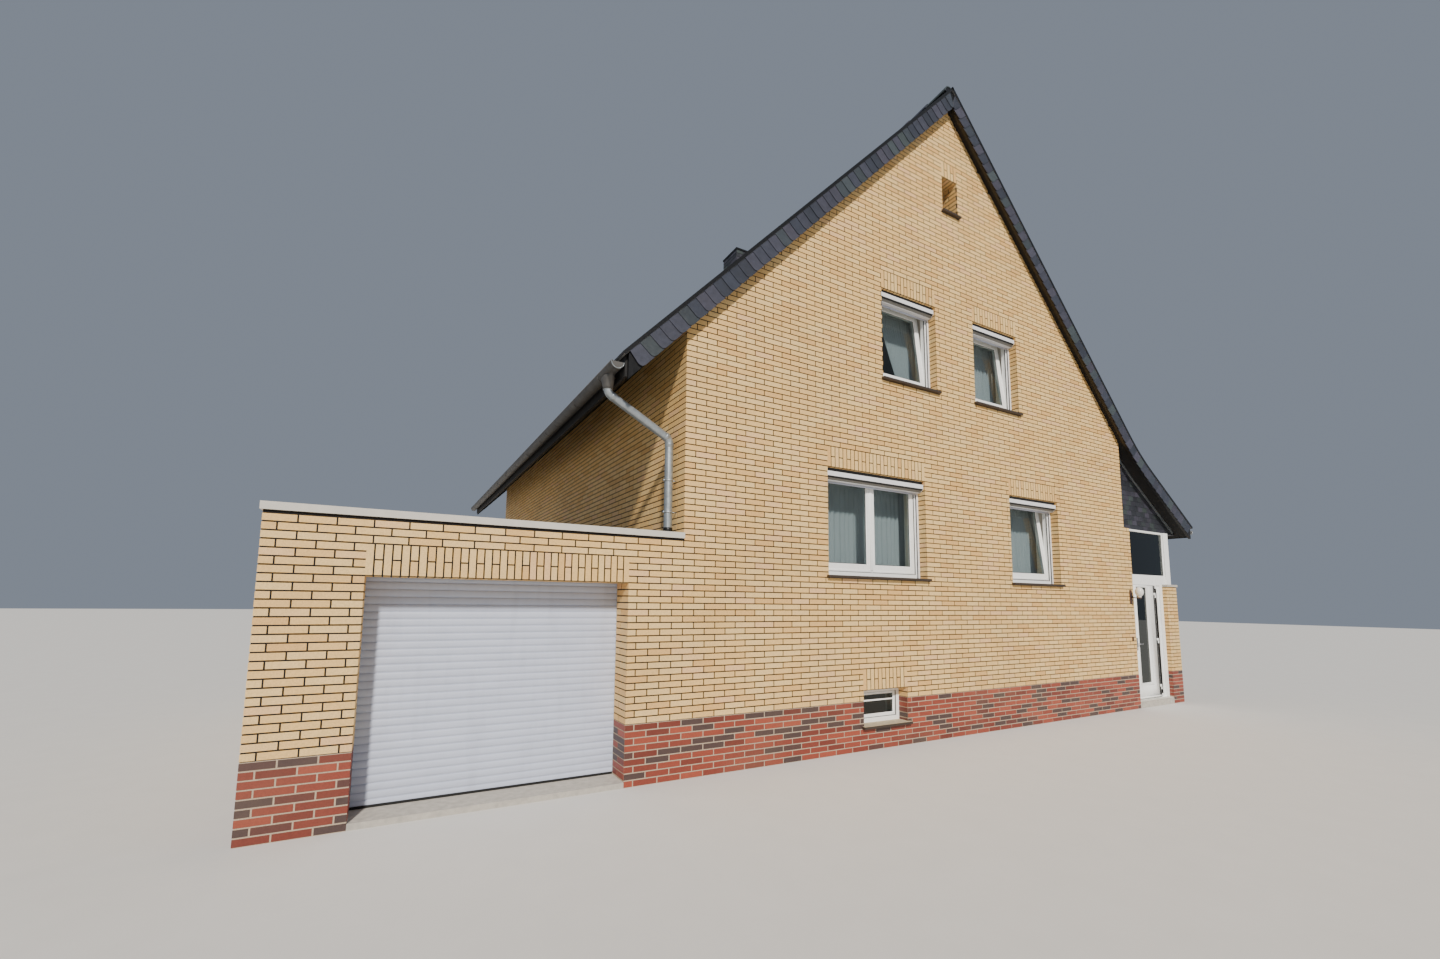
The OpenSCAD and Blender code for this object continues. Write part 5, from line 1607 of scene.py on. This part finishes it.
class HOUSE_OT_entrance(bpy.types.Operator):
    """Makes the door leaf and its pane with beads, hinges, lever, lock and seals, black strips painted as
    the shadow on the hinge side, and the threshold
    """

    bl_idname = "house.entrance"
    bl_label = "Entrance"

    def execute(self, context):
        plane = Wall((0, PORCH_Y, 0), X)
        low, high = reach("front_door")
        left, bottom, top = low.x, low.z, high.z
        right = left + LEAF_WIDTH
        leaf, pane, beads, seals, grip, fixed, bars = (Shape() for _ in range(7))
        u0, u1, v0, v1 = rect = (left + 0.137, right - 0.260, bottom + 0.260, top - 0.030)
        surround(leaf, plane, (left, right, bottom, top), rect, -0.067, 0.001)
        knuckle = [
            (0.0, 0.0052), (0.0, 0.0085), (0.002, 0.0090), (0.042, 0.0090), (0.044, 0.0080), (0.044, 0.0052)
        ]
        for z in (bottom + 0.180, (bottom + top) / 2, top - 0.180):
            leaf.lathe((right + 0.0025, 0.053, z + 0.0005), Z, knuckle, 20)
            leaf.box((right - 0.030, 0.0535, z + 0.0005), (right - 0.001, 0.0645, z + 0.0445))
        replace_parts(solid("door_leaf", leaf, "white", "door", smooth=True), "front_door")
        pane.box((u0, 0.087, v0), (u1, 0.111, v1))
        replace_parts(solid("door_glass", pane, "dark_pane", "door"), "door_pane")
        glaze(beads, seals, plane, rect, 0.022)
        moulding = [(0.0, 0.0), (0.005, 0.005), (0.024, 0.005), (0.030, 0.0), (0.030, -0.001), (0.0, -0.001)]
        mitred(beads, plane, (u0 - 0.032, u1 + 0.032, v0 - 0.032, v1 + 0.028), moulding)
        slab(
            beads, plane, (left + 0.012, right - 0.012), (bottom + 0.012, bottom + 0.040), (0.0, 0.014),
            0.006
        )
        # Black strip on the leaf's hinge edge: painted shadow of the rebate
        slab(seals, plane, (right - 0.033, right - 0.0005), (bottom + 0.003, top - 0.003), (0.0, 0.0012))
        solid("door_beads", beads, "white", "door", smooth=True)
        solid("door_seals", seals, "rubber", "door")
        x, z = left + 0.050, bottom + 0.960
        steps = ((0.0, 0.0002), (0.0, 0.007), (0.0015, 0.0092), (0.005, 0.010))
        rounded_plate(grip, plane, x, z, 0.018, 0.110, 0.0125, steps)
        # The lever's path in x, y and drop, with its radius
        lever = ((0.0, 0.057, 0.0, 0.0115), (0.0, 0.040, 0.0, 0.0088), (0.001, 0.028, 0.0, 0.0088))
        lever += ((0.005, 0.0215, 0.0, 0.0088), (0.014, 0.0192, 0.0, 0.0088), (0.060, 0.0190, 0.0, 0.0084))
        lever += (
            (0.104, 0.0190, 0.0, 0.0080), (0.114, 0.0200, 0.001, 0.0074), (0.1195, 0.0225, 0.002, 0.0060)
        )
        grip.tube([(x + a, y, z - drop) for a, y, drop, _ in lever], [r for *_, r in lever], 14)
        lock = [
            (0.0, 0.0115), (0.002, 0.0112), (0.003, 0.0095), (0.0055, 0.0090), (0.0060, 0.0080),
            (0.0060, 0.0)
        ]
        grip.lathe((x, 0.0555, z - 0.072), -Y, lock, 20)
        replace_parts(solid("door_lever", grip, "steel", "door", smooth=True), "door_handle")
        # Black strip on the frame beside the hinges: painted shadow of the rebate
        slab(fixed, plane, (right + 0.0055, right + 0.0348), (bottom, top), (0.0, 0.0012))
        strip = [(0.0, 0.0012), (0.0, -0.0278), (0.004, -0.0278), (0.002, 0.0012)]
        mitred(fixed, plane, (right + 0.035, right + 0.085, bottom + 0.06, top - 0.055), strip)
        solid("entrance_seals", fixed, "rubber")
        tread = 0.116
        slab(bars, plane, (JAMB_X + 0.002, PIER_X - 0.002), (0.1015, tread), (0.0005, 0.055), 0.003)
        for u in (0.012, 0.024, 0.036):
            rib = Wall((0, PORCH_Y - u, tread), X, Y)
            slab(bars, rib, (JAMB_X + 0.01, PIER_X - 0.01), (0.0, 0.005), (0.0, 0.0012))
        solid("entrance_threshold", bars, "trim")
        return {"FINISHED"}


def drape(shape, wall, u0, u1, top, bottom, depth, drawn):
    """One net hung in folds; drawn pulls its lower left corner over to the right by that share."""
    trim = bpy.context.scene.trim
    count, rows = round((u1 - u0) / trim.fold * 10), 16
    start = len(shape.points)
    flat = []
    for k in range(rows + 1):
        share = k / rows
        v = top + (bottom - top) * share
        left = u0 + (u1 - u0) * drawn * (0.36 + 0.64 * share)
        freedom = math.sqrt(max(0.3, 1 - drawn * share * 0.5))
        swing = trim.fold_depth * (0.55 + 0.45 * min(1.0, share * 4)) * freedom
        length, last, row = 0.0, None, []
        for j in range(count + 1):
            t = j / count
            turn = 2 * math.pi * (u1 - u0) * t / trim.fold
            wave = math.sin(turn + 0.5 * math.sin(turn / 3.3) + 0.35 * share * math.sin(turn / 5.1 + 1))
            here = (left + (u1 - left) * t + 0.005 * share * math.sin(turn / 4.7 + 2.0), swing * wave)
            length += math.dist(here, last) if last else 0.0
            last = here
            row.append(length)
            shape.points.append(wall.at(here[0], v, here[1] - depth))
        flat.append(row)
    for k in range(rows):
        for j in range(count):
            a = start + k * (count + 1) + j
            shape.faces.append((a, a + count + 1, a + count + 2, a + 1))
    return flat


# Share by which each net is drawn aside, and the depth of the nets behind the wall's face
DRAWN = {("front", "bedroom_left"): 0.78}
NET_DEPTH = 0.440


class HOUSE_OT_curtains(bpy.types.Operator):
    """Hangs the net curtains behind the gable windows on their rails"""

    bl_idname = "house.curtains"
    bl_label = "Net curtains"

    def execute(self, context):
        walls = facing_sides()
        rails, nets = Shape(), []
        for side in ("front", "back"):
            for name, hole in zip(("living", "kitchen", "bedroom_left", "bedroom_right"), ROOMS):
                ceiling = reach("upper_floor" if hole[3] < reach("upper_floor")[0].z else "attic_floor")[0].z
                u0, u1 = hole[0] - 0.14, hole[1] + 0.14
                top, bottom = ceiling - 0.022, hole[2] - 0.145
                shape = Shape()
                rows = drape(
                    shape, walls[side], u0, u1, top, bottom, NET_DEPTH, DRAWN.get((side, name), 0.0)
                )
                net = raw_object(f"net_{side}_{name}", shape)
                layer = net.data.uv_layers.new(name="cloth")
                for loop in net.data.loops:
                    k, j = divmod(loop.vertex_index, len(rows[0]))
                    layer.data[loop.index].uv = (rows[k][j], net.data.vertices[loop.vertex_index].co.z)
                net.data.polygons.foreach_set("use_smooth", [True] * len(net.data.polygons))
                settle(net, "net")
                rail = (ceiling - 0.020, ceiling - 0.0005)
                slab(rails, walls[side], (u0 - 0.01, u1 + 0.01), rail, (-0.452, -0.428), 0.003)
                nets.append((net, rows, top - bottom))
        rail = solid("curtain_rails", rails, "white")
        for net, rows, height in nets:
            width = max(row[-1] for row in rows)
        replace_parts(nets[0][0], "net_curtains")
        return {"FINISHED"}


# The street camera: where it stands from the house's corner, its axes in the house's and its shift
CAMERA_SPOT = Vector((-2.651, -5.172, 1.761))
CAMERA_RIGHT = Vector((0.87979, -0.47520, 0.01279))
CAMERA_DOWN = Vector((0.06141, 0.08693, -0.99432))
CAMERA_AHEAD = Vector((0.47139, 0.87557, 0.10566))
CAMERA_SHIFT = (0.01692, 0.04186)

# The sun: where it shines to, how wide it is and its colour
SUN_TOWARDS, SUN_ANGLE, SUN_COLOUR = Vector((0.36, 1.0, -0.82)), math.radians(4), (1.0, 0.945, 0.88)


class HOUSE_OT_stage(bpy.types.Operator):
    """Sets the floor, the soft light and the camera"""

    bl_idname = "house.stage"
    bl_label = "Stage"

    def execute(self, context):
        stage, scene = context.scene.stage, context.scene
        shape = Shape()
        shape.face([(-60, -50, 0), (80, -50, 0), (80, 80, 0), (-60, 80, 0)])
        floor = raw_object("studio_floor", shape)
        floor.data.materials.append(plain_finish("pale_studio_floor", stage.floor, 0.9, 3, 0.015))
        scene.world = bpy.data.worlds.new("pale_studio")
        scene.world.use_nodes = True
        tree = scene.world.node_tree
        tree.nodes.clear()
        light = add(tree, "ShaderNodeBackground", {"Color": stage.backdrop, "Strength": stage.fill})
        add(tree, "ShaderNodeOutputWorld", {"Surface": light})
        key = linked("soft_key", bpy.data.lights.new("soft_key", "SUN"))
        key.data.energy, key.data.angle, key.data.color = stage.key, SUN_ANGLE, SUN_COLOUR
        key.rotation_euler = SUN_TOWARDS.to_track_quat("-Z", "Y").to_euler()
        camera = linked("street_camera", bpy.data.cameras.new("street_camera"))
        camera.data.sensor_width, camera.data.lens, camera.data.clip_end = 36.0, stage.lens, 300.0
        camera.data.shift_x, camera.data.shift_y = CAMERA_SHIFT
        turn = Matrix((CAMERA_RIGHT, -CAMERA_DOWN, -CAMERA_AHEAD)).transposed()
        camera.matrix_world = Matrix.Translation(CORNER + CAMERA_SPOT) @ turn.to_4x4()
        scene.camera = camera
        return {"FINISHED"}


class HOUSE_PT_panel(bpy.types.Panel):
    """Lists the sizes, colours and steps of the house"""

    bl_idname = "HOUSE_PT_panel"
    bl_label = "Brick house"
    bl_space_type = "VIEW_3D"
    bl_region_type = "UI"
    bl_category = "House"

    def draw(self, context):
        for group in GROUPS:
            box = self.layout.box()
            box.label(text=group.capitalize())
            values = getattr(context.scene, group)
            for name in values.bl_rna.properties.keys():
                if name not in ("rna_type", "name"):
                    box.prop(values, name)
        for step in STEPS:
            self.layout.operator(step.bl_idname)


GROUPS = {
    "facing": FacingSizes, "roof": RoofSizes, "trim": TrimSizes, "finishes": HouseColours,
    "stage": StageSettings
}
STEPS = [
    HOUSE_OT_finishes,
    HOUSE_OT_stage,
    HOUSE_OT_buff_slips,
    HOUSE_OT_plinth_slips,
    HOUSE_OT_roof_slates,
    HOUSE_OT_ridge_tiles,
    HOUSE_OT_hung_slates,
    HOUSE_OT_garage_door,
    HOUSE_OT_window_trim,
    HOUSE_OT_shutter_boxes,
    HOUSE_OT_gutter_fittings,
    HOUSE_OT_chimney_flashing,
    HOUSE_OT_lamp,
    HOUSE_OT_porch_glazing,
    HOUSE_OT_entrance,
    HOUSE_OT_curtains,
]


def register():
    for group in GROUPS.values():
        bpy.utils.register_class(group)
    for name, group in GROUPS.items():
        setattr(bpy.types.Scene, name, PointerProperty(type=group))
    for cls in STEPS + [HOUSE_PT_panel]:
        bpy.utils.register_class(cls)


def unregister():
    for cls in reversed(STEPS + [HOUSE_PT_panel]):
        bpy.utils.unregister_class(cls)
    for name, group in GROUPS.items():
        delattr(bpy.types.Scene, name)
        bpy.utils.unregister_class(group)


def main():
    register()
    for step in STEPS:
        _, name = step.bl_idname.split(".")
        result = getattr(bpy.ops.house, name)()
        if "FINISHED" not in result:
            raise RuntimeError(f"{step.bl_label} did not finish")


if __name__ == "__main__":
    main()
